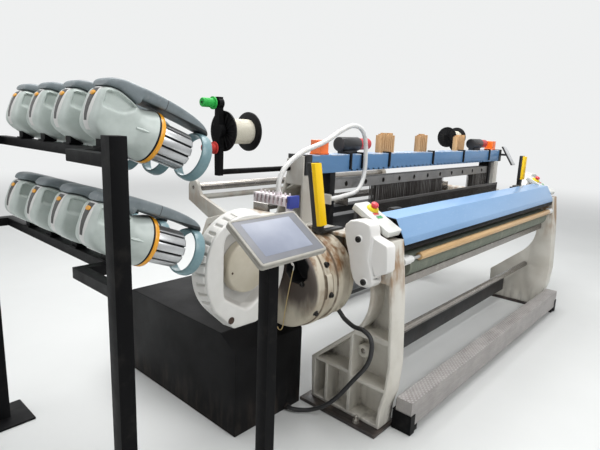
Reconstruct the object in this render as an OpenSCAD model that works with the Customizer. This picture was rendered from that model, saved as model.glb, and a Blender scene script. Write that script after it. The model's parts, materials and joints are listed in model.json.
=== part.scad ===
// Rapier power loom with two rows of weft feeders.
// X runs along the machine's width, Y from the weaver to the warp, Z up.
// The origin is the centre of the four floor anchors, at floor level.
// All sizes are in millimetres.

/* [Side frames] */
// Clear width between the two side frames
working_w = 2600; // [2500:10:2800]
// Width of the side frames across their flanges
flange_w = 130; // [120:1:140]
// Thickness of the side frames' web
web_t = 18; // [12:1:30]
// Thickness of the ribs and rims on the web
rib_t = 20; // [14:1:24]
// Height of the side frames above the floor
frame_top = 1050; // [1046:1:1056]
// Thickness of the steel plates under the feet
foot_t = 20; // [14:1:30]
// Radius of the hollow curve in the front leg
arch_r = 290; // [270:1:300]

/* [Floor anchors] */
// Distance between the anchors from front to back
anchor_span = 1240; // [1200:10:1300]
// Diameter of the anchor holes
anchor_d = 18; // [14:1:24]

/* [Step beam] */
// Height of the step beam's section
step_h = 147; // [120:1:160]
// Depth of the step beam's section
step_d = 95; // [80:1:110]
// Wall of the step beam
step_wall = 4; // [3:1:8]

/* [Breast and rollers] */
// Thickness of the folded cover sheet
cover_t = 4; // [2:1:6]
// Wall of the breast beam
breast_wall = 8; // [5:1:12]
// Diameter of the wooden press roller
press_d = 43; // [38:1:46]
// Diameter of the take-up roller
take_up_d = 130; // [110:1:134]
// Diameter of the cloth shaft
cloth_shaft_d = 46; // [35:1:60]
// Radial play of every journal in its bore
journal_play = 0.25; // [0.2:0.05:0.3]

/* [Sley and reed] */
// Diameter of the rocking shaft that carries the sley
rocker_d = 90; // [70:1:100]
// Width of the reed
reed_w = 2240; // [2000:10:2300]
// Height of the reed
reed_h = 130; // [110:1:140]
// Number of gaps between the reed's ridges
reed_gaps = 100; // [60:1:120]

/* [Heald frames] */
// Number of heald frames
heald_frames = 4; // [2:1:4]
// Distance from one heald frame to the next
heald_pitch = 20; // [18:1:22]
// Thickness of a heald frame
heald_t = 12; // [10:1:13]
// Height of a heald frame
heald_h = 400; // [380:1:420]
// Distance between two healds of a frame
heald_spacing = 24; // [20:1:40]

/* [Heald beam] */
// Height of the beam over the healds
beam_h = 105; // [90:1:120]
// Depth of the beam over the healds
beam_d = 130; // [120:1:160]
// Height of the beam's underside above the floor
beam_z = 1335; // [1334:1:1380]
// Wall of the beam
beam_wall = 4; // [3:1:6]

/* [Drive ends] */
// Radius of the round drive housings
housing_r = 240; // [220:1:241]
// Radius of the round rapier covers at their back edge
cover_r = 262; // [250:1:262]
// Depth of the rapier covers
cover_depth = 80; // [72:1:90]
// Wall of the rapier covers
rapier_wall = 5; // [4:1:7]
// Radius of the rapier wheels
wheel_r = 218; // [200:1:220]

/* [Warp beam] */
// Diameter of the warp beam's barrel
barrel_d = 180; // [120:1:220]
// Diameter of the warp beam's flanges
beam_flange_d = 760; // [600:10:800]
// Thickness of the warp beam's flanges
beam_flange_t = 14; // [10:1:24]

/* [Terminal] */
// Width of the operator terminal
terminal_w = 285; // [250:1:310]
// Height of the operator terminal
terminal_h = 178; // [165:1:200]
// Thickness of the operator terminal
terminal_t = 20; // [16:1:26]
// Side of the terminal's square post
terminal_post_w = 44; // [40:1:52]

/* [Weft feeders] */
// Number of feeders in each row
feeders_per_row = 4; // [1:1:4]
// Distance from one feeder to the next
feeder_pitch = 250; // [240:1:280]
// Diameter of the yarn drum
drum_d = 150; // [130:1:156]
// Length of the yarn drum
drum_len = 148; // [130:1:156]
// Downward tilt of the feeders in degrees
feeder_tilt = 21; // [15:1:24]
// Side of the feeder stand's square column
column_w = 55; // [45:1:65]

/* [Hidden] */
$fn = 48;

// Faces of the side frames, measured from the middle of the machine
xi = working_w / 2;
xw = xi + web_t;
xo = xi + flange_w;
// Distance that separates pieces that move past each other
gap = 0.3;
// Overshoot of a cutting tool beyond the face that it cuts
cut = 1;

// Front edge of the side frame: distance to the front at each height
front_edge = [[foot_t, -744], [130, -750], [225, -776], [385, -789], [738, -769],
    [887, -753], [frame_top, -732]];
arch_c = [-345, 735];
foot_rear_y = -258;
shelf_z = 275;
top_z = frame_top - 6;
arch_top_z = 850;

take_up_y = -665;
take_up_z = 878;
press_y = -735;
press_z = take_up_z + sqrt(pow((take_up_d + press_d) / 2 + gap, 2) - pow(press_y - take_up_y, 2));
take_up_journal_d = 40;
press_journal_d = 19;
guide_y = -662;
guide_z = take_up_z - take_up_d / 2 - 38;
shaft_y = -574;
shaft_z = 395;
shaft_journal_d = 30;
warp_y = 700;
warp_z = 500;
warp_journal_d = 70;
barrel_half = xi - 170;
whip_y = 1100;
whip_z = 1110;
whip_journal_d = 30;
stop_y = 281;
rocker_y = -120;
rocker_z = 560;
rocker_journal_d = 50;
bearing_t = 25;

breast_line = [[-550, frame_top + 107], [-677, frame_top + 98], [-730, frame_top],
    [-740, frame_top - 34]];
breast_rear_y = -560;
breast_bottom_z = frame_top - 65;
breast_rear_z = frame_top + 102;
step_y = -782;
step_z = 43;
step_half = xi + 27;

sley_y0 = -330;
sley_y1 = -245;
sley_top_z = 1010;
sley_half = xi - 120;
race_t = 20;
reed_y = -283;
reed_t = 10;
reed_z0 = sley_top_z + race_t - 8;

heald_y = -150;
heald_travel = 40;
heald_top_z = beam_z - heald_travel - 5;
heald_half_w = xi - 110;
heald_groups = [[-700, 280], [880, 1150]];
guide_bottom_z = 900;
rear_tie_z = 1000;

beam_y0 = -170;
beam_y1 = beam_y0 + beam_d;
beam_top_z = beam_z + beam_h;
beam_half = xi + 100;
cap_w = 55;

left_spool_at = [-60, 1560];
right_spool_at = [22, 1550];
bobbin_heights = [1690, 1480];

drive_y = -285;
drive_z = 800;
housing_x = xo + 315;
wheel_x = -xo - 580;
wheel_z = 950;
cover_back_y = -260;
cover_front_y = cover_back_y - cover_depth;
arm_y1 = -110;
recess_d = 50;
recess_corner = 24;
wheel_shaft_d = 44;

gearbox_cover_t = 88;
box_tilt = 28;
box_t = 34;
button_in = 20;
button_up = 58;
terminal_at = [-xo - 1040, -943];
terminal_post_h = 1180;
hinge_up = 44;
terminal_turn = 2;
terminal_lean = 35;
lug_h = 50;
column_at = [-xo - 1344, -600];
column_h = 1552;
rail_x = -xo - 1230;
rail_w = 40;
feeder_rows = [[-xo - 1003, 1514], [-xo - 1038, 1123]];
feeder_y = -300;
rear_column_y = feeder_y + (feeders_per_row - 1) * feeder_pitch + 300;
bell_end = -72;
drum_start = -48;
ring_t = 14;

// Draws a profile in the Y-Z plane and extrudes it along X.
module along_x(x0, x1)
    translate([x0, 0, 0]) rotate([90, 0, 90]) linear_extrude(x1 - x0) children();

// Draws a profile in the X-Z plane and extrudes it along Y.
module along_y(y0, y1)
    translate([0, y1, 0]) rotate([90, 0, 0]) linear_extrude(y1 - y0) children();

module block(x0, x1, y0, y1, z0, z1)
    translate([x0, y0, z0]) cube([x1 - x0, y1 - y0, z1 - z0]);

module rod(x0, x1, y, z, d)
    translate([x0, y, z]) rotate([0, 90, 0]) cylinder(h = x1 - x0, d = d);

// Turns a profile of radius and length about a line along X.
module turned(x0, y, z)
    translate([x0, y, z]) rotate([0, 90, 0]) rotate_extrude() children();

module both_sides() {
    children();
    mirror([1, 0, 0]) children();
}

function front_y(z) = lookup(z, front_edge);
function arc(c, r, a0, a1, n = 8) =
    [for (i = [0:n]) c + r * [cos(a0 + (a1 - a0) * i / n), sin(a0 + (a1 - a0) * i / n)]];

// Corners of a leg pocket's front edge, one rib inside the frame's front edge
function inside_front(heights) = [for (z = heights) [front_y(z) + rib_t, z]];

module frame_outline()
    polygon(concat(
        [for (p = front_edge) [p[1], p[0]]],
        [[-600, top_z], [420, top_z], [760, 940], [900, 640], [960, foot_t]],
        [[520, foot_t], [500, 300], [400, 640], [300, 800], [220, arch_top_z]],
        [[-600, arch_top_z]],
        arc(arch_c, arch_r, 166, 228),
        [[foot_rear_y, shelf_z], [foot_rear_y - 14, foot_t]]));

// The open pockets between the ribs on the outer side of a frame
module frame_pockets() {
    sole = foot_t + rib_t;
    rear_rib = -536 + rib_t / 2;
    front_rib = -536 - rib_t / 2;
    polygon(concat(inside_front([535, 738, 830]), [[-655, 830]],
        arc(arch_c, arch_r + rib_t, 166, 219)));
    polygon(concat(inside_front([260, 385, 505]), [[front_rib, 505], [front_rib, 260]]));
    polygon(concat(inside_front([sole, 130, 240]), [[front_rib, 240], [front_rib, sole]]));
    polygon([[rear_rib, 480], [rear_rib, 284], [-302, 284]]);
    polygon([[rear_rib, sole], [rear_rib, 264], [-384, 264], [-384, sole]]);
    polygon([[-384 + rib_t, sole], [-384 + rib_t, 264], [-290, 264], [-290, sole]]);
    polygon([[525, 320], [425, 640], [360, 790], [800, 790], [876, 640], [906, 320]]);
    polygon([[542, sole], [524, 295], [908, 295], [936, sole]]);
    polygon([[-560, arch_top_z + rib_t], [235, arch_top_z + rib_t], [330, 818], [720, 818],
        [735, 900], [420, top_z - rib_t], [-560, top_z - rib_t]]);
}

module side_frame()
    color([0.78, 0.77, 0.73])
    difference() {
        union() {
            difference() {
                along_x(-xo, -xi) frame_outline();
                along_x(-xo - cut, -xw) frame_pockets();
            }
            rod(-xi - 70, -xi, shaft_y, shaft_z, shaft_journal_d + 44);
            rod(-xo, -xi, warp_y, warp_z, warp_journal_d + 80);
        }
        rod(-xo - cut, -xi + cut, take_up_y, take_up_z, take_up_journal_d + 2 * journal_play);
        rod(-xo - cut, -xi + cut, shaft_y, shaft_z, shaft_journal_d + 2 * journal_play);
        rod(-xo - cut, -xi + cut, warp_y, warp_z, warp_journal_d + 2 * journal_play);
    }

module left_side_frame() side_frame();

module right_side_frame() mirror([1, 0, 0]) side_frame();

// Four floor plates, each with an anchor hole outside the frame
module foot_plates()
    color([0.22, 0.21, 0.2])
    both_sides()
    for (ends = [[-758, -230], [500, 980]])
        difference() {
            block(xi - 20, xo + 60, ends[0], ends[1], 0, foot_t);
            translate([xo + 30, sign(ends[1]) * anchor_span / 2, -cut])
                cylinder(h = foot_t + 2 * cut, d = anchor_d);
        }

// A square tube that ties the two side frames together
module tie(y0, y1, z0, z1, wall = 8)
    difference() {
        block(-xi, xi, y0, y1, z0, z1);
        block(-xi - cut, xi + cut, y0 + wall, y1 - wall, z0 + wall, z1 - wall);
    }

module cross_beams()
    color([0.3, 0.3, 0.31]) {
        tie(-400, -320, 90, 210);
        tie(600, 680, 40, 110);
        tie(60, 140, 880, rear_tie_z);
        tie(300, 400, 880, rear_tie_z);
    }

module step_beam()
    color([0.68, 0.66, 0.65])
    difference() {
        block(-step_half, step_half, step_y - step_d, step_y, step_z, step_z + step_h);
        block(-step_half - cut, step_half + cut, step_y - step_d + step_wall,
            step_y - step_wall, step_z + step_wall, step_z + step_h - step_wall);
    }

// A foot under each end of the step beam with a tongue to the foot plate
module step_brackets()
    color([0.12, 0.12, 0.12])
    both_sides() {
        block(xi - 60, xi + 20, step_y - step_d + 5, step_y - 4, 0, step_z);
        block(xi - 20, xi + 20, step_y - 4, -758, 0, foot_t);
        block(xi - 40, xi - 28, step_y, -765, step_z, step_z + step_h - 20);
        block(xi - 40, xi - 28, step_y - 4, -765, foot_t, step_z);
        block(xi - 28, xi, step_y + 6, -765, foot_t + 20, 160);
    }

// Hollow beam behind the folded cover, open to nothing but its ends
module breast_beam()
    color([0.09, 0.09, 0.1])
    difference() {
        along_x(-xi, xi)
            polygon(concat(
                [[breast_rear_y, breast_bottom_z], [-735, breast_bottom_z]],
                [breast_line[3] + [cover_t, 0], breast_line[2] + [cover_t, -1],
                    breast_line[1] + [2, -cover_t], [breast_rear_y, breast_rear_z]]));
        along_x(-xi - cut, xi + cut)
            polygon([[breast_rear_y - breast_wall, breast_bottom_z + breast_wall],
                [-735 + breast_wall, breast_bottom_z + breast_wall],
                breast_line[3] + [cover_t + breast_wall, 2],
                breast_line[2] + [cover_t + breast_wall, 0],
                breast_line[1] + [breast_wall, -cover_t - breast_wall],
                [breast_rear_y - breast_wall, breast_rear_z - breast_wall]]);
    }

module breast_cover()
    color([0.42, 0.62, 0.84])
    along_x(-xi + 2, xi - 2)
        polygon(concat(
            [breast_line[0], breast_line[1], breast_line[2], breast_line[3]],
            [breast_line[3] + [cover_t - gap, 0], breast_line[2] + [cover_t - gap, -1],
                breast_line[1] + [2, -cover_t + gap], [breast_rear_y, breast_rear_z + gap],
                [-550, breast_rear_z + 1 + gap]]));

// Strip with adjusting holes behind the cover, and the bar under it
module temple_plate()
    color([0.62, 0.6, 0.58]) {
        plate_z = frame_top + 76;
        difference() {
            block(-xi + 4, xi - 4, breast_rear_y, -495, plate_z, plate_z + 6);
            for (x = [-1200:120:1200])
                translate([x, -515, plate_z - cut])
                    rotate(30) cylinder(h = 6 + 2 * cut, d = 12, $fn = 6);
        }
        block(-xi + 4, xi - 4, -522, -492, plate_z - 30, plate_z);
    }

// Spiked cloth holders near the two selvedges
module temples()
    color([0.25, 0.25, 0.26])
    for (x = [-1060, 930]) {
        block(x - 45, x + 45, -548, -500, frame_top + 82, frame_top + 90);
        block(x - 40, x + 40, -540, -504, frame_top + 90, frame_top + 112);
        rod(x - 60, x + 60, -478, frame_top + 72, 22);
        block(x - 8, x + 8, -504, -472, frame_top + 82, frame_top + 96);
        block(x - 8, x + 8, -491.5, -472, frame_top + 72, frame_top + 82);
    }

module press_roller()
    color([0.84, 0.66, 0.42]) {
        rod(-1130, 1200, press_y, press_z, press_d);
        rod(-xi + 40, -1130, press_y, press_z, press_journal_d);
        rod(1200, xi - 40, press_y, press_z, press_journal_d);
    }

module roller_brackets()
    color([0.88, 0.88, 0.86])
    both_sides()
    difference() {
        union() {
            block(xi - 78, xi, press_y - 8, press_y + 26, press_z - 22, press_z + 22);
            rod(xi - 90, xi, press_y, press_z, press_journal_d + 18);
        }
        rod(xi - 90 - cut, xi + cut, press_y, press_z, press_journal_d + 2 * journal_play);
    }

module take_up_roller()
    color([0.46, 0.49, 0.43]) {
        rod(-xi + 94, xi - 94, take_up_y, take_up_z, take_up_d);
        both_sides() rod(xi - 94, xo - 20, take_up_y, take_up_z, take_up_journal_d);
    }

module cloth_guide_bar()
    color([0.74, 0.75, 0.76])
    along_x(-xi, xi) {
        translate([guide_y - 8, guide_z - 18]) square([16, 36]);
        for (z = [guide_z - 18, guide_z + 18])
            translate([guide_y, z]) circle(d = 16, $fn = 24);
    }

module cloth_shaft()
    color([0.6, 0.6, 0.6]) {
        rod(-xi + 12, xi - 12, shaft_y, shaft_z, cloth_shaft_d);
        both_sides() rod(xi - 12, xi + 66, shaft_y, shaft_z, shaft_journal_d);
    }

// Bearing plates that hang from the frames and carry the rocking shaft
module sley_bearings()
    color([0.7, 0.69, 0.65])
    both_sides()
    difference() {
        along_x(xi - bearing_t, xi) {
            polygon([[-235, 1000], [30, 1000], [30, 860], [-60, rocker_z], [-180, rocker_z],
                [-235, 860]]);
            translate([rocker_y, rocker_z]) circle(r = 70);
        }
        rod(xi - bearing_t - cut, xi + cut, rocker_y, rocker_z, rocker_journal_d + 2 * journal_play);
    }

// Rocking shaft, swords and the hollow sley with its race board
module sley_beam()
    color([0.55, 0.56, 0.57]) {
        half = xi - bearing_t - 1;
        rod(-half, half, rocker_y, rocker_z, rocker_d);
        both_sides() rod(half, xi - 1, rocker_y, rocker_z, rocker_journal_d);
        for (x = [-1150:460:1150])
            along_x(x - 8, x + 8)
                polygon([[rocker_y - 30, rocker_z], [rocker_y + 30, rocker_z],
                    [sley_y1 + 5, sley_top_z - 55], [sley_y0, sley_top_z - 55]]);
        difference() {
            block(-sley_half, sley_half, sley_y0, sley_y1, sley_top_z - 60, sley_top_z);
            block(-sley_half - cut, sley_half + cut, sley_y0 + 7, sley_y1 - 7, sley_top_z - 53,
                sley_top_z - 7);
        }
        difference() {
            along_x(-sley_half, sley_half)
                polygon([[sley_y0 - 14, sley_top_z], [sley_y1 - 15, sley_top_z],
                    [sley_y1 - 15, sley_top_z + race_t], [reed_y - 12, sley_top_z + race_t],
                    [sley_y0 - 14, sley_top_z + race_t - 6]]);
            block(-reed_w / 2 - 2, reed_w / 2 + 2, reed_y - reed_t / 2 - gap,
                reed_y + reed_t / 2 + gap, reed_z0 - gap, sley_top_z + race_t + cut);
        }
    }

// Comb of flat ridges between two baulks
module reed()
    color([0.3, 0.31, 0.33]) {
        baulk = 18;
        pitch = (reed_w - 2 * baulk) / (reed_gaps + 1);
        for (z = [reed_z0, reed_z0 + reed_h - baulk])
            block(-reed_w / 2, reed_w / 2, reed_y - reed_t / 2, reed_y + reed_t / 2, z, z + baulk);
        both_sides()
            block(reed_w / 2 - baulk, reed_w / 2, reed_y - reed_t / 2, reed_y + reed_t / 2,
                reed_z0 + baulk, reed_z0 + reed_h - baulk);
        for (i = [1:reed_gaps])
            translate([-reed_w / 2 + baulk + i * pitch, reed_y, reed_z0 + reed_h / 2])
                cube([pitch * 0.45, 4, reed_h - 2 * baulk], center = true);
    }

// One heald frame: perforated rails, end braces, healds and lifting rods
module heald_frame(i)
    color([0.7, 0.71, 0.73]) {
        y = heald_y + i * heald_pitch;
        y0 = y - heald_t / 2;
        y1 = y + heald_t / 2;
        bottom_z = heald_top_z - heald_h;
        rail_h = 62;
        difference() {
            block(-heald_half_w, heald_half_w, y0, y1, heald_top_z - rail_h, heald_top_z);
            for (x = [-1050:210:1050])
                translate([x, y, heald_top_z - rail_h / 2])
                    rotate([90, 22.5, 0])
                    cylinder(h = heald_t + 2, d = 34, center = true, $fn = 8);
        }
        block(-heald_half_w, heald_half_w, y0, y1, bottom_z, bottom_z + rail_h);
        both_sides()
            block(heald_half_w - 24, heald_half_w, y0, y1, bottom_z + rail_h,
                heald_top_z - rail_h);
        for (group = heald_groups, x = [group[0] + i % 2 * 6:heald_spacing:group[1]])
            block(x, x + 7, y - 1, y + 1, bottom_z + rail_h, heald_top_z - rail_h);
        both_sides()
            translate([800, y, bottom_z - 180]) cylinder(h = 180, d = 11, $fn = 24);
    }

module heald_frame_1() heald_frame(0);

module heald_frame_2() if (heald_frames > 1) heald_frame(1);

module heald_frame_3() if (heald_frames > 2) heald_frame(2);

module heald_frame_4() if (heald_frames > 3) heald_frame(3);

// Slotted guides for the ends of the heald frames
module heald_guides()
    color([0.16, 0.16, 0.17])
    both_sides() {
        y0 = heald_y - 20;
        y1 = heald_y + (heald_frames - 1) * heald_pitch + 20;
        difference() {
            block(heald_half_w - 10, heald_half_w + 40, y0, y1, guide_bottom_z, beam_z);
            for (i = [0:heald_frames - 1])
                block(heald_half_w - 10 - cut, heald_half_w + 2,
                    heald_y + i * heald_pitch - heald_t / 2 - gap,
                    heald_y + i * heald_pitch + heald_t / 2 + gap, guide_bottom_z - cut,
                    beam_z + cut);
        }
        block(heald_half_w + 40, xi, y0, y1, 1002, 1040);
    }

// Right upright: a web with a front and a rear leg and two diagonal ribs, out to x_out
module upright(x_out, leg_top_z) {
    x0 = xi + 8;
    x_rib = x_out - 20;
    block(x0, x_out + 20, -205, 60, top_z, top_z + 14);
    along_x(x0, x0 + 14)
        polygon([[-175, top_z + 14], [45, top_z + 14], [beam_y1, beam_z], [beam_y0, beam_z]]);
    along_x(x0 + 14, x_out) {
        polygon([[-175, top_z + 14], [-160, top_z + 14], [beam_y0 + 15, leg_top_z],
            [beam_y0, leg_top_z]]);
        polygon([[30, top_z + 14], [45, top_z + 14], [beam_y1, leg_top_z],
            [beam_y1 - 15, leg_top_z]]);
    }
    along_x(x0 + 14, x_rib) {
        polygon([[-160, top_z + 20], [-148, top_z + 14], [26, 1200], [20, 1212]]);
        polygon([[16, 1212], [24, 1222], [-154, beam_z - 10], [-157, beam_z - 24]]);
    }
}

// Cast uprights with diagonal ribs that carry the heald beam
module uprights()
    color([0.8, 0.79, 0.75]) {
        // The left one is deeper and reaches up beside the beam's end
        mirror([1, 0, 0]) upright(beam_half + cap_w + 15, beam_z - 6);
        upright(beam_half, beam_z);
        along_x(-beam_half - cap_w - 15, -beam_half - cap_w - 3)
            polygon([[beam_y0 + 2, beam_z - 60], [beam_y1 - 2, beam_z - 60],
                [beam_y1 - 2, beam_top_z - 24], [beam_y0 + 16, beam_top_z - 2],
                [beam_y0 + 2, beam_top_z - 2]]);
        block(-xi - 30, -xi - 22, -262, -168, 1166, 1224);
        rod(-xi - 22, -xi - 6, -235, 1195, white_hose_d + 8);
    }

// Folded beam with open slots along its lower front edge
module heald_beam()
    color([0.36, 0.6, 0.86])
    difference() {
        block(-beam_half, beam_half, beam_y0, beam_y1, beam_z, beam_top_z);
        block(-beam_half - cut, beam_half + cut, beam_y0 + beam_wall, beam_y1 - beam_wall,
            beam_z + beam_wall, beam_top_z - beam_wall);
        for (x = [-1020:60:1020])
            block(x - 10, x + 10, beam_y0 - cut, beam_y0 + beam_wall + cut, beam_z - cut,
                beam_z + 12);
    }

module beam_end_caps()
    color([0.09, 0.09, 0.1]) {
        both_sides()
            block(beam_half, beam_half + cap_w, beam_y0 - 4, beam_y1 + 4, beam_z - 4,
                beam_top_z + 4);
        along_x(beam_half + cap_w, beam_half + cap_w + 90)
            polygon([[-178, 1476], [-165, 1470], [-276, 1296], [-289, 1302]]);
        block(beam_half + cap_w, beam_half + cap_w + 12, -216, beam_y0 + 30, 1385, 1405);
    }

// Straps that hold hoses and cables to the front of the heald beam
module harness_clamps()
    color([0.1, 0.1, 0.1])
    for (x = [-1043, -917, -603, 27, 578, 1144]) {
        block(x - 8, x + 8, beam_y0 - 12, beam_y0, beam_z + 14, beam_top_z + 10);
        block(x - 8, x + 8, beam_y0, beam_y0 + 45, beam_top_z, beam_top_z + 10);
    }

// Three packs of thin wooden spacers that stand on the beam
module wooden_spacers()
    color([0.8, 0.55, 0.32])
    for (pack = [[-640, 7], [-110, 5], [545, 6]], i = [0:pack[1] - 1])
        block(pack[0] + i * 26, pack[0] + i * 26 + 19, beam_y0 + 50, beam_y0 + 92,
            beam_top_z, beam_top_z + 118 + 8 * (i % 3));

module signal_lamps()
    color([1, 0.45, 0.08])
    both_sides()
    translate([xi - 20, beam_y0 + 50, beam_top_z]) {
        translate([-42, -42, 0]) cube([84, 84, 8]);
        translate([-38, -38, 8]) cube([76, 76, 76]);
    }

// Two motors that wind the selvedge threads, on low saddles
module selvedge_motors()
    color([0.12, 0.12, 0.13])
    for (x = [-1070, 880]) {
        y = beam_y0 + 75;
        z = beam_top_z + 58;
        rod(x, x + 190, y, z, 88);
        rod(x + 190, x + 305, y, z, 74);
        block(x + 30, x + 160, y - 30, y + 30, beam_top_z, z - 40);
    }

// Turned casting on the side frame with three raised bands, and the arm behind
// the rapier cover that holds the wheel's bearing
module drive_housing()
    color([0.76, 0.72, 0.64])
    difference() {
        union() {
            turned(-housing_x, drive_y, drive_z)
                polygon([[0, 0], [housing_r - 26, 0], [housing_r - 8, 10], [housing_r, 28],
                    [housing_r, 74], [housing_r + 10, 82], [housing_r + 10, 116],
                    [housing_r, 124], [housing_r - 4, 172], [housing_r + 10, 182],
                    [housing_r + 10, 216], [housing_r - 2, 226], [housing_r - 6, 292],
                    [housing_r + 2, 300], [housing_r + 2, housing_x - xo], [0, housing_x - xo]]);
            along_x(wheel_x - 70, -housing_x)
                polygon([[cover_back_y, wheel_z - 90], [arm_y1, wheel_z - 110],
                    [arm_y1, wheel_z + 40], [cover_back_y, wheel_z + 60]]);
        }
        translate([-housing_x - cut, drive_y - 112, drive_z + 98])
            rotate([0, 90, 0]) rotate([0, 0, 22.5])
            cylinder(h = 90 + cut, d = 158, $fn = 8);
        translate([wheel_x, arm_y1 + cut, wheel_z]) rotate([90, 0, 0])
            cylinder(h = 300, d = wheel_shaft_d + 2 * journal_play);
    }

module left_drive_housing() {
    drive_housing();
    color([0.76, 0.72, 0.64])
        translate([-xo - 45, drive_y, drive_z]) rotate([222, 0, 0])
        rotate([-90, 0, 0]) translate([0, 0, housing_r - 20]) cylinder(h = 30, d = black_hose_d + 14);
}

module right_drive_housing() mirror([1, 0, 0]) drive_housing();

// Turns a profile of radius and depth about the wheel's axis, towards the back
module turned_back(y)
    translate([wheel_x, y, wheel_z]) rotate([-90, 0, 0]) rotate_extrude() children();

// Outline of the cover's recess: a rounded polygon that reaches down into the chin
module recess_outline()
    translate([wheel_x, wheel_z])
        offset(r = recess_corner) offset(delta = -recess_corner)
        polygon([[-150, 150], [-128, 178], [128, 178], [150, 150], [150, -128], [0, -222],
            [-150, -128]]);

// Moulded pan with a conical side, a deep recess, a chin and grip ribs
module rapier_cover()
    color([0.89, 0.89, 0.87]) {
        front_r = cover_r - 27;
        w = rapier_wall;
        floor_y = cover_front_y + recess_d;
        difference() {
            union() {
                turned_back(cover_front_y)
                    polygon([[0, 0], [front_r - 10, 0], [front_r, 8], [cover_r, cover_depth],
                        [cover_r - w, cover_depth], [front_r - w, 10], [front_r - 12, w], [0, w]]);
                along_y(cover_front_y, floor_y + w) offset(delta = w) recess_outline();
            }
            along_y(cover_front_y - cut, floor_y) recess_outline();
            translate([wheel_x, cover_front_y, wheel_z]) rotate([-90, 0, 0])
                cylinder(h = cover_depth, d = 30);
        }
        along_y(cover_front_y + w, cover_back_y)
            polygon([[wheel_x - 178, wheel_z - 194], [wheel_x - 84, wheel_z - 288],
                [wheel_x + 58, wheel_z - 292], [wheel_x + 146, wheel_z - 218],
                [wheel_x + 60, wheel_z - cover_r + 2], [wheel_x - 60, wheel_z - cover_r + 2]]);
        for (a = [100:13:230])
            translate([wheel_x, cover_front_y, wheel_z])
                rotate([0, -a, 0]) translate([cover_r - 18, 14, -10])
                cube([16, cover_depth - 22, 20]);
    }

module left_rapier_cover() rapier_cover();

module right_rapier_cover() mirror([1, 0, 0]) rapier_cover();

// Spoked wheel that drives a rapier tape to and fro, with its shaft
module rapier_wheel()
    color([0.6, 0.6, 0.62]) {
        rim_y = cover_back_y - 2;
        turned_back(rim_y - 16)
            polygon([[wheel_r - 14, 0], [wheel_r, 0], [wheel_r, 14], [wheel_r - 14, 14]]);
        for (a = [0:60:300])
            translate([wheel_x, rim_y - 12, wheel_z]) rotate([0, a, 0])
                translate([40, 0, -12]) cube([wheel_r - 50, 8, 24]);
        turned_back(rim_y - 16) polygon([[0, 0], [58, 0], [58, 16], [0, 16]]);
        turned_back(rim_y) polygon([[0, 0], [wheel_shaft_d / 2, 0], [wheel_shaft_d / 2, 140], [0, 140]]);
    }

module left_rapier_wheel() rapier_wheel();

module right_rapier_wheel() mirror([1, 0, 0]) rapier_wheel();

module hub_covers()
    color([0.8, 0.78, 0.7])
    both_sides()
    turned_back(cover_front_y)
        polygon([[0, 0], [116, 0], [124, 5], [127, recess_d], [0, recess_d]]);

// Moulded cover on the outside of the left frame, with a lower box at its front
module gearbox_cover()
    color([0.89, 0.89, 0.87]) {
        along_x(-xo - gearbox_cover_t, -xo)
            polygon([[-507, 1092], [-514, 1120], [-540, 1143], [-585, 1152], [-628, 1150],
                [-660, 1138], [-672, 1112], [-676, 1060], [-668, 960], [-694, 880], [-700, 846],
                [-688, 826], [-660, 816], [-620, 816], [-596, 826], [-575, 850], [-560, 890],
                [-545, 960], [-524, 1020]]);
        along_x(-xo - gearbox_cover_t + 14, -xo)
            polygon([[-660, 1084], [-754, 1052], [-765, 1038], [-771, 926], [-760, 908],
                [-690, 876], [-640, 900]]);
        along_x(-xo - gearbox_cover_t - 8, -xo - gearbox_cover_t) {
            translate([-606, 1059]) circle(d = 30, $fn = 24);
            translate([-652, 847]) circle(d = 30, $fn = 24);
        }
    }

// Row of weft needles on a post that stands on the drive housing
module weft_selector()
    color([0.88, 0.84, 0.86]) {
        x = -housing_x + 50;
        block(x - 32, x + 32, -300, -50, 1196, 1246);
        block(x - 36, x + 36, -322, -300, 1190, 1252);
        for (i = [0:7]) {
            block(x - 42, x - 32, -292 + i * 30, -278 + i * 30, 1200, 1242);
            block(x - 4, x + 4, -290 + i * 30, -282 + i * 30, 1246, 1262);
        }
        block(x - 12, x + 12, drive_y - 15, drive_y + 15, drive_z + housing_r + gap, 1196);
        translate([x, -205, 1246]) cylinder(h = 16, d = white_hose_d + 8);
    }

// Place of a control box: over its frame's top, sloping down to the weaver
module on_frame_top(side)
    translate([side * (xi + 64), -591, frame_top + 76]) rotate([box_tilt, 0, 0]) children();

module control_boxes()
    color([0.86, 0.87, 0.84])
    for (side = [-1, 1]) {
        on_frame_top(side)
            difference() {
                union() {
                    linear_extrude(box_t) {
                        translate([-63, -115]) square([126, 230]);
                        translate([-50, -128]) square([100, 256]);
                        for (x = [-50, 50], y = [-115, 115])
                            translate([x, y]) circle(r = 13, $fn = 24);
                    }
                    translate([-side * button_in, button_up, box_t])
                        cylinder(h = 14, d1 = 62, d2 = 54);
                    for (y = [-18, 10])
                        translate([-22, y, box_t]) cube([44, 18, 1]);
                }
                translate([-side * button_in, button_up, 20]) cylinder(h = 40, d = 26.6);
            }
        translate([side * (xi + 64), 0, 0])
            along_x(-22, 22)
                polygon([[-598, top_z], [-530, top_z], [-548, frame_top + 104],
                    [-590, frame_top + 82]]);
    }

// Mushroom head that travels into its collar
module stop_button(side)
    color([0.85, 0.2, 0.22])
    on_frame_top(side)
    translate([-side * button_in, button_up, 0]) {
        translate([0, 0, 28]) cylinder(h = 28, d = 26);
        translate([0, 0, 56]) rotate_extrude() polygon([[0, 0], [19, 0], [21, 8], [17, 17], [0, 21]]);
    }

module left_stop_button() stop_button(-1);

module right_stop_button() stop_button(1);

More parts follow.
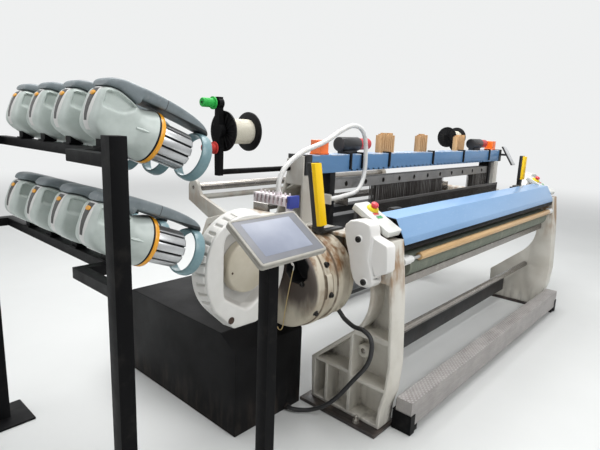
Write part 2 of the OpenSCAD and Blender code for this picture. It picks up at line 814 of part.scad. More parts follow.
// Upright bars with a coloured face, each on a foot that stands on its frame
module light_curtains()
    color([0.95, 0.75, 0.05]) {
        for (place = [[-xo - 98, -360, 1085, 330, 10], [xi + 60, -420, 1180, 215, 0]])
            translate([place[0], place[1], place[2]]) rotate([-place[4], 0, 0]) {
                translate([-28, -22, 0]) cube([56, 22, place[3]]);
                translate([-31, 0, -6]) cube([62, 30, place[3] + 12]);
            }
        block(-xo - 122, -xo - 74, -366, -318, top_z + 12, 1086);
        block(-xo - 122, -xo - 60, -366, -318, top_z + 6, top_z + 18);
        block(-xo - 90, -xi - 30, -366, -318, top_z, top_z + 12);
        block(xi + 40, xi + 80, -424, -388, top_z, 1186);
    }

// Empty warp beam: barrel, two flanges and the journals
module warp_beam()
    color([0.62, 0.63, 0.64]) {
        rod(-barrel_half, barrel_half, warp_y, warp_z, barrel_d);
        both_sides() {
            difference() {
                rod(barrel_half, barrel_half + beam_flange_t, warp_y, warp_z, beam_flange_d);
                for (a = [0:60:300])
                    translate([barrel_half - cut, warp_y, warp_z])
                        rotate([a, 0, 0]) translate([0, 0.3 * beam_flange_d, 0]) rotate([0, 90, 0])
                        cylinder(h = beam_flange_t + 2 * cut, d = 90, $fn = 24);
            }
            rod(barrel_half, xi - 6, warp_y, warp_z, warp_journal_d + 24);
            rod(xi - 6, xo - 10, warp_y, warp_z, warp_journal_d);
        }
    }

module whip_roller()
    color([0.66, 0.67, 0.68]) {
        rod(-xi + 42, xi - 42, whip_y, whip_z, 62);
        both_sides() rod(xi - 42, xi - 6, whip_y, whip_z, whip_journal_d);
    }

// Arms inside the frames that hold the whip roller and a lower guide tube
module back_rest_brackets()
    color([0.7, 0.69, 0.65]) {
        both_sides()
            difference() {
                along_x(xi - 30, xi) {
                    polygon([[560, 830], [740, 830], [whip_y + 60, 1010], [whip_y + 60, whip_z],
                        [whip_y - 60, whip_z], [1010, 1060], [620, 940]]);
                    translate([whip_y, whip_z]) circle(r = 60);
                }
                rod(xi - 30 - cut, xi + cut, whip_y, whip_z, whip_journal_d + 2 * journal_play);
            }
        rod(-xi + 30, xi - 30, whip_y, whip_z - 80, 45);
    }

// Six slotted bars for the drop wires that stop the machine at a broken warp thread
module warp_stop_bars()
    color([0.6, 0.61, 0.62]) {
        bar_z = rear_tie_z + 56;
        pitch = 26;
        stop_y1 = stop_y + 5 * pitch + 8;
        for (i = [0:5])
            difference() {
                block(-xi + 20, xi - 20, stop_y + i * pitch, stop_y + i * pitch + 8, bar_z,
                    bar_z + 26);
                block(-xi + 60, xi - 60, stop_y + i * pitch + 2.5, stop_y + i * pitch + 5.5,
                    bar_z + 14, bar_z + 26 + cut);
            }
        for (x = [-xi / 3, xi / 3])
            block(x - 6, x + 6, stop_y, stop_y1, rear_tie_z, bar_z);
        both_sides() block(xi - 20, xi, stop_y, stop_y1, bar_z - 40, bar_z + 36);
    }

// Sheet casing of the main motor, on the floor beside the left drive
module motor_casing()
    color([0.17, 0.17, 0.18]) {
        along_x(-xo - 570, -xo - 75)
            polygon([[-240, 0], [850, 0], [850, 430], [770, 545], [-120, 545], [-240, 470]]);
        along_y(-258, -240) translate([-xo - 192, 24]) circle(d = black_hose_d + 14);
    }

module terminal_post()
    color([0.08, 0.08, 0.08])
    translate([terminal_at[0], terminal_at[1], 0]) {
        half = terminal_post_w / 2;
        translate([-110, -110, 0]) cube([220, 220, 12]);
        translate([-half, -half, 12])
            cube([terminal_post_w, terminal_post_w, terminal_post_h - 12]);
        rotate([0, 0, terminal_turn])
            for (x = [-30, 20])
                difference() {
                    translate([x, -18, terminal_post_h]) cube([10, 36, 64]);
                    translate([x - cut, 0, terminal_post_h + hinge_up]) rotate([0, 90, 0])
                        cylinder(h = 10 + 2 * cut, d = 14);
                }
    }

// Tilting touch terminal: round-cornered case, raised bezel and a hinge lug
module terminal()
    color([0.72, 0.71, 0.68])
    translate([terminal_at[0], terminal_at[1], terminal_post_h + hinge_up])
    rotate([0, 0, terminal_turn]) {
        rotate([terminal_lean, 0, 0])
            translate([0, 0, lug_h]) {
                difference() {
                    hull()
                        for (x = [-1, 1], y = [-1, 1])
                            translate([x * (terminal_w / 2 - 12), y * (terminal_h / 2 - 12), 0])
                                cylinder(h = terminal_t, r = 12, $fn = 24);
                    translate([-terminal_w / 2 + 24, -terminal_h / 2 + 22, terminal_t - 1.5])
                        cube([terminal_w - 48, terminal_h - 44, 5]);
                }
                translate([-18, -14, 12 - lug_h]) cube([36, 28, lug_h - 12]);
            }
        rod(-18, 18, 0, 0, 30);
        rod(-31, 31, 0, 0, 13.5);
    }

// Flanged spool on an axis along X
module spool(x, y, z, r, len)
    difference() {
        union() {
            rod(x, x + 6, y, z, 2 * r);
            rod(x + 6, x + len - 6, y, z, 1.1 * r);
            rod(x + len - 6, x + len, y, z, 2 * r);
        }
        rod(x - cut, x + len + cut, y, z, 16 + 2 * journal_play);
    }

module left_spool()
    color([0.92, 0.9, 0.82])
    spool(-xo - 515, left_spool_at[0], left_spool_at[1], 98, 170);

module right_spool()
    color([0.92, 0.9, 0.82])
    spool(630, right_spool_at[0], right_spool_at[1], 88, 200);

// Arm on the beam's left end for a spool and two bobbins, and a smaller arm on the beam
module spool_stands()
    color([0.1, 0.1, 0.11]) {
        x = -xo - 524;
        y = left_spool_at[0];
        z = left_spool_at[1];
        along_x(x - 28, x) {
            polygon([[y - 16, z - 215], [y + 16, z - 215], [y + 20, z], [y + 13, z + 160],
                [y - 13, z + 160], [y - 20, z]]);
            translate([y, z]) circle(r = 36);
            for (bobbin_z = bobbin_heights)
                translate([y, bobbin_z]) circle(r = 25);
        }
        rod(x, -beam_half - cap_w - 15, y, z - 198, 28);
        rod(x, x + 192, y, z, 16);
        for (bobbin_z = bobbin_heights) {
            rod(x - 116, x - 28, y, bobbin_z, 10);
            rod(x - 106, x - 46, y, bobbin_z, 34);
        }
        right_y = right_spool_at[0];
        right_z = right_spool_at[1];
        along_x(608, 624)
            polygon([[-75, beam_top_z], [-45, beam_top_z], [right_y + 14, right_z - 14],
                [right_y + 14, right_z + 14], [right_y - 14, right_z + 14]]);
        rod(624, 846, right_y, right_z, 16);
    }

// Columns and rails that carry the two rows of feeders. The front arms lie behind their column,
// and the rails start at the first feeder
module feeder_stand()
    color([0.09, 0.09, 0.1]) {
        half = column_w / 2;
        rail_y0 = feeder_y - 44;
        for (y = [column_at[1], rear_column_y]) {
            translate([column_at[0] - half, y - half, 12]) cube([column_w, column_w, column_h - 12]);
            translate([column_at[0] - 120, y - 120, 0]) cube([240, 240, 12]);
        }
        for (row = feeder_rows) {
            z0 = feeder_rail_z(row) - rail_w / 2;
            z1 = z0 + rail_w;
            block(column_at[0] - rail_w / 2, column_at[0] + rail_w / 2, column_at[1] + half,
                rail_y0 + rail_w, z0, z1);
            block(column_at[0] + rail_w / 2, rail_x, rail_y0, rail_y0 + rail_w, z0, z1);
            block(rail_x - rail_w / 2, rail_x + rail_w / 2, rail_y0, rear_column_y + half, z0, z1);
            block(column_at[0] + half, rail_x, rear_column_y - half, rear_column_y + half, z0, z1);
        }
    }

// Height of a row's rail, under the middle of its feeders' housings
function feeder_rail_z(row) = row[1] + (row[0] - rail_x) * tan(feeder_tilt) - 124;

// Repeats its children at every feeder, with X down along the feeder's axis
module at_feeders()
    for (row = feeder_rows, i = [0:feeders_per_row - 1])
        translate([row[0], feeder_y + i * feeder_pitch, row[1]]) rotate([0, feeder_tilt, 0])
            children();

// Closed solid through sections with equal numbers of points, clockwise as seen from the last one
module skin(sections) {
    n = len(sections);
    m = len(sections[0]);
    walls = [for (i = [0:n - 2], k = [0:m - 1])
        let (a = i * m + k, b = i * m + (k + 1) % m)
        each [[a, b, b + m], [a, b + m, a + m]]];
    first = [for (k = [m - 1:-1:0]) k];
    last = [for (k = [0:m - 1]) (n - 1) * m + k];
    polyhedron([for (section = sections) each section], concat([first, last], walls));
}

// One coordinate of a superellipse with flat faces: from a box at high n to a circle at 2
function rounded(half, wave, n) = half * sign(wave) * pow(abs(wave) / cos(11.25), 2 / n);
function superellipse(s) = [for (k = [15:-1:0])
    let (a = 11.25 + 22.5 * k)
    [s[0], rounded(s[3], cos(a), s[4]), (s[1] + s[2]) / 2 + rounded((s[1] - s[2]) / 2, sin(a), s[4])]];
function lid_section(s) = [[s[0], -s[3], s[2]], [s[0], -s[3], s[1] - s[4]], [s[0], s[4] - s[3], s[1]],
    [s[0], s[3] - s[4], s[1]], [s[0], s[3], s[1] - s[4]], [s[0], s[3], s[2]]];

// Sections of a housing: x, top, bottom, half width, squareness
housing_sections = [[-300, 40, 2, 34, 3], [-297, 68, -22, 54, 4], [-286, 90, -46, 65, 5],
    [-262, 101, -64, 68, 5.4], [-240, 103, -72, 68, 5.4], [-190, 92, -81, 68, 5],
    [-160, 84, -79, 70, 3.6], [-140, 82, -80, 77, 2.4], [-112, 89, -89, 89, 2],
    [-80, 98, -98, 98, 2], [bell_end, 100, -100, 100, 2]];
// Sections of a lid: x, top, underside, half width, bevel
lid_sections = [[-290, 118, 96, 50, 8], [-276, 132, 99, 60, 12], [-262, 138, 101, 64, 14],
    [-240, 143, 103, 66, 16], [-190, 148, 92, 66, 16], [-160, 150, 84, 66, 16],
    [-157, 150, 105, 66, 16], [-40, 151, 106, 64, 16], [50, 146, 104, 56, 16],
    [120, 136, 99, 44, 14], [160, 120, 95, 34, 10], [174, 106, 93, 26, 6]];

// Housing that turns from a rounded box into a bell, and a foot on the rail
module feeder_housings()
    color([0.76, 0.82, 0.78]) {
        at_feeders() skin([for (s = housing_sections) superellipse(s)]);
        for (row = feeder_rows, i = [0:feeders_per_row - 1]) {
            y = feeder_y + i * feeder_pitch;
            top = feeder_rail_z(row) + rail_w / 2;
            block(rail_x - 18, rail_x + 18, y - 22, y + 22, top, top + 36);
        }
    }

// Grey lid along the top that reaches over the drum to the front eyelet ring
module feeder_lids()
    color([0.5, 0.58, 0.6])
    at_feeders() {
        skin([for (s = lid_sections) lid_section(s)]);
        turned(146, 0, 0)
            polygon([[82, 0], [96, 0], [100, 6], [100, 20], [95, 26], [82, 26]]);
    }

// Slatted yarn drum with its front disc, on a neck that stands on the bell
module feeder_drums()
    color([0.72, 0.73, 0.74])
    at_feeders()
    translate([drum_start, 0, 0]) {
        rotate([0, 90, 0]) cylinder(h = drum_len, d = drum_d - 22, $fn = 24);
        for (a = [0:45:315])
            rotate([a, 0, 0]) translate([0, -20, drum_d / 2 - 12]) cube([drum_len - 8, 40, 12]);
        translate([bell_end - drum_start, 0, 0]) rotate([0, 90, 0])
            cylinder(h = drum_start - bell_end, d = 40, $fn = 24);
    }

// Yellow rings that turn between the bell and the drum to wind the yarn
module feeder_flyers()
    color([0.94, 0.64, 0.1])
    at_feeders()
    turned(bell_end + 1, 0, 0)
        polygon([[20.4, 0], [97, 0], [100, 4], [100, ring_t], [92, ring_t], [20.4, 6]]);

// Route of the white hose: from the weft selector up over the beam and down in front of it
white_hose_d = 28;
white_hose_points = [[-1695, -205, 1262.5], [-1695, -205, 1274], [-1695, -205, 1292],
    [-1685, -205, 1335], [-1640, -205, 1394], [-1520, -205, 1462], [-1340, -205, 1516],
    [-1180, -205, 1585], [-1070, -205, 1612], [-980, -205, 1585], [-940, -205, 1510],
    [-930, -205, 1420], [-930, -205, 1350],
    [-948, -208, 1288], [-992, -214, 1238], [-1055, -222, 1211], [-1130, -230, 1204],
    [-1220, -235, 1197], [-1276, -235, 1195], [-1305.6, -235, 1195]];
// Route of the black hose: from the left drive forward in a bow and back along the floor
black_hose_d = 24;
black_hose_points = [[-1475, -471.1, 632.4], [-1475, -490, 615.4], [-1476, -516, 595],
    [-1482, -580, 575], [-1495, -650, 580], [-1508, -705, 560], [-1515, -722, 500], [-1515, -700, 410],
    [-1515, -620, 290], [-1522, -530, 160], [-1540, -455, 80], [-1565, -380, 34],
    [-1596, -326, 22], [-1618, -292, 23], [-1622, -276, 24], [-1622, -258.4, 24]];

// A smooth curve through the route's points: Catmull-Rom, n steps for each stretch
function spline_point(a, b, c, d, t) =
    0.5 * (2 * b + (c - a) * t + (2 * a - 5 * b + 4 * c - d) * t * t
        + (3 * b - a - 3 * c + d) * t * t * t);
function spline(p, n) = concat(
    [for (i = [0:len(p) - 2], j = [0:n - 1])
        spline_point(p[max(i - 1, 0)], p[i], p[i + 1], p[min(i + 2, len(p) - 1)], j / n)],
    [p[len(p) - 1]]);
function unit(v) = v / norm(v);
function tangent(p, i) = unit(p[min(i + 1, len(p) - 1)] - p[max(i - 1, 0)]);
// Carries the ring's first direction along the route without twist
function frames(p, i, u) = i == len(p) ? [] :
    let (t = tangent(p, i), v = unit(u - (u * t) * t))
    concat([[v, cross(t, v)]], frames(p, i + 1, v));

// Round tube along a route, as one closed solid
module hose(points, d, sides = 8) {
    line = spline(points, 3);
    ring_frames = frames(line, 0, [0.12, 1, 0.31]);
    skin([for (i = [0:len(line) - 1])
        [for (k = [sides - 1:-1:0])
            line[i] + d / 2 * (cos(360 * k / sides) * ring_frames[i][0]
                + sin(360 * k / sides) * ring_frames[i][1])]]);
}

module white_hose() color([0.85, 0.85, 0.84]) hose(white_hose_points, white_hose_d);

module black_hose() color([0.08, 0.08, 0.08]) hose(black_hose_points, black_hose_d);

left_side_frame();
right_side_frame();
foot_plates();
cross_beams();
step_beam();
step_brackets();
breast_beam();
breast_cover();
temple_plate();
temples();
press_roller();
roller_brackets();
take_up_roller();
cloth_guide_bar();
cloth_shaft();
sley_bearings();
sley_beam();
reed();
heald_frame_1();
heald_frame_2();
heald_frame_3();
heald_frame_4();
heald_guides();
uprights();
heald_beam();
beam_end_caps();
harness_clamps();
wooden_spacers();
signal_lamps();
selvedge_motors();
left_drive_housing();
right_drive_housing();
left_rapier_cover();
right_rapier_cover();
left_rapier_wheel();
right_rapier_wheel();
hub_covers();
gearbox_cover();
weft_selector();
control_boxes();
left_stop_button();
right_stop_button();
light_curtains();
warp_beam();
whip_roller();
back_rest_brackets();
warp_stop_bars();
motor_casing();
terminal_post();
terminal();
left_spool();
right_spool();
spool_stands();
feeder_stand();
feeder_housings();
feeder_lids();
feeder_drums();
feeder_flyers();
white_hose();
black_hose();
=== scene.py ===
import json
import math

import bmesh
import bpy
import numpy as np
from mathutils import Matrix, Vector


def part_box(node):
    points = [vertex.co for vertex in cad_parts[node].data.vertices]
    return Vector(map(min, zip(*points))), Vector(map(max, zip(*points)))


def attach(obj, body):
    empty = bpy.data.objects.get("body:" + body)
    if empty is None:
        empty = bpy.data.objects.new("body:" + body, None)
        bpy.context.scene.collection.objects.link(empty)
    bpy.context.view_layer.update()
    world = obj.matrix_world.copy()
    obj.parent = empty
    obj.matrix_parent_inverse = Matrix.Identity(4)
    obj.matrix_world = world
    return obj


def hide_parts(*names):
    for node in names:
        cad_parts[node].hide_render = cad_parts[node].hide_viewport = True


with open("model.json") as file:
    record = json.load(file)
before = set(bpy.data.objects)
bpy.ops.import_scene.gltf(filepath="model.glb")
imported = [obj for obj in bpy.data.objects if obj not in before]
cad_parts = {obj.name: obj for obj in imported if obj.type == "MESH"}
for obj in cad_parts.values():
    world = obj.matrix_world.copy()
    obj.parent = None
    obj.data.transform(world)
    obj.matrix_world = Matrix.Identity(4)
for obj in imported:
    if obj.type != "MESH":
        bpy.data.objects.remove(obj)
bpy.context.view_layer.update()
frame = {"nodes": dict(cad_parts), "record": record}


# Camera: a hand-held picture taken at eye height in front of the left end of the loom,
# turned about 42 degrees to the right and 12 degrees down, with a slight roll.
eye = Vector((-3.455, -1.95, 1.6))
to_right = Vector((0.67475, -0.73706, 0.03808))
to_top = Vector((0.12369, 0.16379, 0.97871))
backwards = Vector((-0.72761, -0.65568, 0.20168))
camera = bpy.data.objects.new("camera", bpy.data.cameras.new("camera"))
camera.data.lens = 28.92
camera.data.sensor_width = 36.0
camera.data.clip_end = 200.0
looking = Matrix((to_right, to_top, backwards)).transposed().to_4x4()
camera.matrix_world = Matrix.Translation(eye) @ looking
bpy.context.scene.collection.objects.link(camera)
bpy.context.scene.camera = camera


# Floor and light: a plain pale floor that runs out into the pale room, and soft lamps
# over the front, the back and the left end, so that every side is lit.
class Wire:
    """A socket that can be reckoned with: each operator adds its Math node to the tree."""

    def __init__(self, tree, socket):
        self.tree, self.socket = tree, socket

    def reckon(self, operation, *values):
        return self.tree.add("ShaderNodeMath", {"operation": operation}, *values)

    def __add__(self, other):
        return self.reckon("ADD", self, other)

    def __mul__(self, other):
        return self.reckon("MULTIPLY", self, other)

    def __sub__(self, other):
        return self.reckon("SUBTRACT", self, other)

    def __rsub__(self, other):
        return self.reckon("SUBTRACT", other, self)

    def __pow__(self, other):
        return self.reckon("POWER", self, other)

    def __abs__(self):
        return self.reckon("ABSOLUTE", self)

    __radd__, __rmul__ = __add__, __mul__

    def larger(self, other):
        return self.reckon("MAXIMUM", self, other)

    def sine(self, pitch):
        """A wave between -1 and 1 that repeats at this pitch in metres."""
        return self.reckon("SINE", self * (2 * math.pi / pitch))

    def rise(self, low, high):
        """Goes smoothly from 0 at low to 1 at high."""
        step = {"interpolation_type": "SMOOTHSTEP"}
        return self.tree.add("ShaderNodeMapRange", step, self, low, high, 0.0, 1.0)

    def band(self, low, high, soft):
        """1 between low and high, with soft flanks outside them."""
        return self.rise(low - soft, low) * (1 - self.rise(high, high + soft))


def distance(across, up):
    """How far a point lies from an axis: the root of the sum of the two squares."""
    return (across ** 2 + up ** 2) ** 0.5


class Tree:
    """The nodes of a material or of the room. Each is put in from its type, its settings and
    the values or wires of its inputs."""

    def __init__(self, owner):
        owner.use_nodes = True
        self.nodes, self.links = owner.node_tree.nodes, owner.node_tree.links

    def find(self, kind):
        """The node of this type that was there from the start."""
        return next(node for node in self.nodes if node.type == kind)

    def node(self, kind, settings, *values):
        """A new node of this type, whose settings are made before its inputs are filled."""
        node = self.nodes.new(kind)
        for label, value in (settings or {}).items():
            setattr(node, label, value)
        for socket, value in zip(node.inputs, values):
            self.plug(socket, value)
        return node

    def add(self, kind, settings=None, *values, out=0):
        """One output of such a new node, as a wire."""
        return Wire(self, self.node(kind, settings, *values).outputs[out])

    def plug(self, socket, value):
        """Joins a wire to an input or sets its value; with None it stays as it is."""
        if isinstance(value, Wire):
            self.links.new(value.socket, socket)
        elif value is not None:
            if isinstance(value, tuple) and len(value) == 3 and socket.type == "RGBA":
                value = (*value, 1.0)
            socket.default_value = value

    def apart(self, place):
        """The three coordinates of a place, as wires."""
        return [Wire(self, out) for out in self.node("ShaderNodeSeparateXYZ", None, place).outputs]


class Finish(Tree):
    """One material, from the Principled surface. Its colour, roughness and metallic are values
    or wires, which done puts in."""

    def __init__(self, name, roughness=0.5, metallic=0.0, **sockets):
        self.material = bpy.data.materials.new(name)
        super().__init__(self.material)
        self.surface = self.find("BSDF_PRINCIPLED")
        self.place = self.add("ShaderNodeTexCoord", out="Object")
        self.x, self.y, self.z = self.apart(self.place)
        self.colour, self.roughness, self.metallic = None, roughness, metallic
        for label, value in sockets.items():
            self.surface.inputs[label.replace("_", " ")].default_value = value

    def mix(self, factor, first, second):
        """A colour that goes from the first to the second as the factor goes from 0 to 1."""
        values = (factor, None, None, None, None, None, first, second)
        return self.add("ShaderNodeMix", {"data_type": "RGBA"}, *values, out=2)

    def between(self, factor, first, second):
        """Colours the finish with such a mix."""
        self.colour = self.mix(factor, first, second)

    def over(self, mask, colour):
        """Lays a colour over the finish where the mask is 1."""
        self.colour = self.mix(mask, self.colour, colour)

    def speckle(self, size, detail=3.0, stretch=(1.0, 1.0, 1.0)):
        """Noise with lumps of about this size in metres, drawn out along an axis by stretch."""
        scale = tuple(1.0 / (size * s) for s in stretch)
        spread = self.add("ShaderNodeMapping", None, self.place, None, None, scale)
        return self.add("ShaderNodeTexNoise", None, spread, None, 1.0, detail, 0.55)

    def corners(self, reach):
        """1 deep in a corner, 0 in the open, from the shade cast within reach."""
        return 1 - self.add("ShaderNodeAmbientOcclusion", {"samples": 6}, (1.0, 1.0, 1.0), reach,
                            out="AO")

    def grime(self, reach, spotty):
        """Dirt and painted shade in the corners within reach, and dirt in spots outside them."""
        return (self.corners(reach) + self.speckle(0.02, 4) * spotty).rise(0.5, 1.0)

    def relief(self, height, depth):
        """Bump from a height between 0 and 1 that stands for depth in metres."""
        bump = self.add("ShaderNodeBump", None, None, depth, None, height)
        self.plug(self.surface.inputs["Normal"], bump)

    def grain(self, size, depth, detail=2):
        """Fine bump all over, from noise of this size."""
        self.relief(self.speckle(size, detail), depth)

    def done(self):
        """Joins what the finish has to its surface, and gives its material."""
        self.plug(self.surface.inputs["Base Color"], self.colour)
        self.plug(self.surface.inputs["Roughness"], self.roughness)
        self.plug(self.surface.inputs["Metallic"], self.metallic)
        return self.material


pale = (0.86, 0.87, 0.87)
reach = 60.0
ground = bpy.data.meshes.new("floor")
ground.from_pydata([(-reach, -reach, 0), (reach, -reach, 0), (reach, reach, 0),
                    (-reach, reach, 0)], [], [(0, 1, 2, 3)])
floor = bpy.data.objects.new("floor", ground)
bpy.context.scene.collection.objects.link(floor)

screed = Finish("pale floor", 0.55)
screed.between(screed.speckle(0.9, 4), (0.62, 0.63, 0.62), (0.70, 0.71, 0.70))
ground.materials.append(screed.done())
fade_from, fade_to = 4.0, 14.0
far_off = distance(screed.x, screed.y).rise(fade_from, fade_to)
in_view = far_off * screed.add("ShaderNodeLightPath", out="Is Camera Ray")
painted = Wire(screed, screed.surface.outputs[0])
glow = screed.add("ShaderNodeEmission", None, pale, 1.0)
blend = screed.add("ShaderNodeMixShader", None, in_view, painted, glow)
screed.plug(screed.find("OUTPUT_MATERIAL").inputs["Surface"], blend)

world = bpy.data.worlds.new("room")
bpy.context.scene.world = world
sky = Tree(world)
lit = sky.find("BACKGROUND")
sky.plug(lit.inputs["Color"], (0.95, 0.97, 1.0))
sky.plug(lit.inputs["Strength"], 0.34)
seen, mirrored, looked_through = (sky.add("ShaderNodeLightPath", out=f"Is {ray} Ray")
                                  for ray in ("Camera", "Glossy", "Transmission"))
shown = sky.add("ShaderNodeBackground", None, pale)
choice = sky.add("ShaderNodeMixShader", None, seen.larger(mirrored).larger(looked_through),
                 Wire(sky, lit.outputs[0]), shown)
sky.plug(sky.find("OUTPUT_WORLD").inputs["Surface"], choice)

for lamp_name, place, aim, size, power in (
        ("front lamp", (-1.5, -5.0, 5.0), (-0.3, 0.0, 0.6), 4.0, 170.0),
        ("top lamp", (-0.5, 0.5, 6.0), (-0.6, 0.0, 0.0), 5.0, 380.0),
        ("left lamp", (-7.0, 1.5, 4.5), (-1.5, 0.0, 0.6), 3.5, 70.0),
        ("back lamp", (3.5, 6.0, 5.0), (0.0, 0.5, 0.6), 4.0, 150.0)):
    lamp = bpy.data.objects.new(lamp_name, bpy.data.lights.new(lamp_name, "AREA"))
    lamp.data.shape, lamp.data.size, lamp.data.energy = "DISK", size, power
    lamp.location = place
    lamp.rotation_euler = (Vector(aim) - Vector(place)).to_track_quat("-Z", "Y").to_euler()
    bpy.context.scene.collection.objects.link(lamp)
bpy.context.scene.view_settings.view_transform = "Standard"


# Hoses: a white ribbed conduit that climbs from the weft selector over the heald beam and
# curls down in front of it to the left upright, and a black rubber hose that hangs in a bow
# from the left drive and runs back along the floor into the motor casing.
body_of = {node: body for body, nodes in frame["record"]["behaviour"]["bodies"].items()
           for node in nodes}


def curve_through(points, steps):
    """Catmull-Rom curve: between two points the weights of the four nearest ones are cubics."""
    points = np.array(points, float)
    padded = np.vstack([points[:1], points, points[-1:]])
    t = (np.arange(steps) / steps)[None, :, None]
    a, b, c, d = (padded[i:len(points) - 1 + i, None, :] for i in range(4))
    curve = 0.5 * (2 * b + (c - a) * t + (2 * a - 5 * b + 4 * c - d) * t ** 2
                   + (3 * b - a - 3 * c + d) * t ** 3)
    return np.vstack([curve.reshape(-1, points.shape[1]), points[-1:]])


def evenly(line, pitch):
    """The same line with points at equal distances of about the pitch, and its length."""
    steps = np.linalg.norm(np.diff(line, axis=0), axis=1)
    along = np.concatenate([[0.0], np.cumsum(steps)])
    at = np.linspace(0, along[-1], max(2, int(along[-1] / pitch) + 1))
    return np.stack([np.interp(at, along, line[:, i]) for i in range(3)], 1), along[-1]


def skin(*shells, ends=True):
    """A surface from shells that don't touch, each an array (rings, points, 3): neighbouring
    rings are joined by four-sided faces, and with ends the first and the last are filled."""
    points, faces, start = [], [], 0
    for rings in shells:
        rings = np.asarray(rings, float)
        n, m = rings.shape[:2]
        i, k = np.meshgrid(np.arange(n - 1), np.arange(m), indexing="ij")
        after = (k + 1) % m
        quads = np.stack([i * m + k, i * m + after, (i + 1) * m + after, (i + 1) * m + k], -1)
        faces += (start + quads.reshape(-1, 4)).tolist()
        if ends:
            last = start + (n - 1) * m
            faces += [list(range(start, start + m))[::-1], list(range(last, last + m))]
        points += rings.reshape(-1, 3).tolist()
        start += n * m
    mesh = bpy.data.meshes.new("skin")
    mesh.from_pydata(points, [], faces)
    return mesh


def tube_rings(line, radius, sides):
    """Circles about a line: the first direction is carried along without twist, and every
    circle is the radius times its cosine and sine along the two directions across the line."""
    tangent = np.gradient(line, axis=0)
    tangent /= np.linalg.norm(tangent, axis=1, keepdims=True)
    across = np.zeros_like(line)
    v = np.array([0.12, 1.0, 0.31])
    for i, t in enumerate(tangent):
        v = v - (v @ t) * t
        v /= np.linalg.norm(v)
        across[i] = v
    other = np.cross(tangent, across)
    a = np.linspace(0, 2 * np.pi, sides, endpoint=False)[None, :, None]
    r = np.broadcast_to(radius, (len(line),))[:, None, None]
    return line[:, None] + r * (np.cos(a) * across[:, None] + np.sin(a) * other[:, None])


def place_piece(name, mesh, finish, node, stands_for_it=False, smooth=35):
    """Puts a mesh into the scene on its node's body, with its finish, and turns its faces outwards;
    edges under the smooth angle are shaded round."""
    mesh.name = name
    piece = bpy.data.objects.new(name, mesh)
    bpy.context.scene.collection.objects.link(piece)
    work = bmesh.new()
    work.from_mesh(mesh)
    bmesh.ops.recalc_face_normals(work, faces=work.faces)
    limit = math.radians(smooth)
    for edge in work.edges:
        edge.smooth = len(edge.link_faces) == 2 and edge.calc_face_angle(0) < limit
    for face in work.faces:
        face.smooth = True
    work.to_mesh(mesh)
    work.free()
    mesh.materials.append(finish)
    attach(piece, body_of[node])
    if stands_for_it:
        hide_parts(node)
    return piece


white_route = [(-1.695, -0.205, 1.2625), (-1.695, -0.205, 1.274), (-1.695, -0.205, 1.292),
               (-1.685, -0.205, 1.335), (-1.64, -0.205, 1.394), (-1.52, -0.205, 1.462),
               (-1.34, -0.205, 1.516), (-1.18, -0.205, 1.585), (-1.07, -0.205, 1.612),
               (-0.98, -0.205, 1.585), (-0.94, -0.205, 1.51), (-0.93, -0.205, 1.42),
               (-0.93, -0.205, 1.35), (-0.948, -0.208, 1.288), (-0.992, -0.214, 1.238),
               (-1.055, -0.222, 1.211), (-1.13, -0.23, 1.204), (-1.22, -0.235, 1.197),
               (-1.276, -0.235, 1.195), (-1.3056, -0.235, 1.195)]
black_route = [(-1.475, -0.4711, 0.6324), (-1.475, -0.49, 0.6154), (-1.476, -0.516, 0.595),
               (-1.482, -0.58, 0.575), (-1.495, -0.65, 0.58), (-1.508, -0.705, 0.56),
               (-1.515, -0.722, 0.5), (-1.515, -0.7, 0.41), (-1.515, -0.62, 0.29),
               (-1.522, -0.53, 0.16), (-1.54, -0.455, 0.08), (-1.565, -0.38, 0.034),
               (-1.596, -0.326, 0.022), (-1.618, -0.292, 0.023), (-1.622, -0.276, 0.024),
               (-1.622, -0.2584, 0.024)]
grey_vinyl = Finish("white conduit", 0.42)
grey_vinyl.between(grey_vinyl.speckle(0.05, 4).rise(0.45, 0.75) * 0.6, (0.76, 0.76, 0.74),
                   (0.55, 0.53, 0.49))
hose_rubber = Finish("black rubber hose")
hose_rubber.colour = (0.012, 0.012, 0.013)
hose_rubber.roughness = 0.34 + hose_rubber.speckle(0.02, 3) * 0.25
hose_rubber.grain(0.004, 0.0004)
for name, node, route, diameter, rib, step, finish in (
        ("white_conduit", "white_hose", white_route, 0.028, 0.0011, 0.0018, grey_vinyl),
        ("rubber_hose", "black_hose", black_route, 0.024, 0.0, 0.006, hose_rubber)):
    line, length = evenly(curve_through(route, 24), step)
    # A rib at every fourth ring, and a valley as deep as the rib is high halfway between.
    valley = 0.5 - 0.5 * np.cos(np.arange(len(line)) * math.pi / 2)
    tube = skin(tube_rings(line, diameter / 2 - rib * valley, 14))
    hose = place_piece(name, tube, finish.done(), node, True, 70)


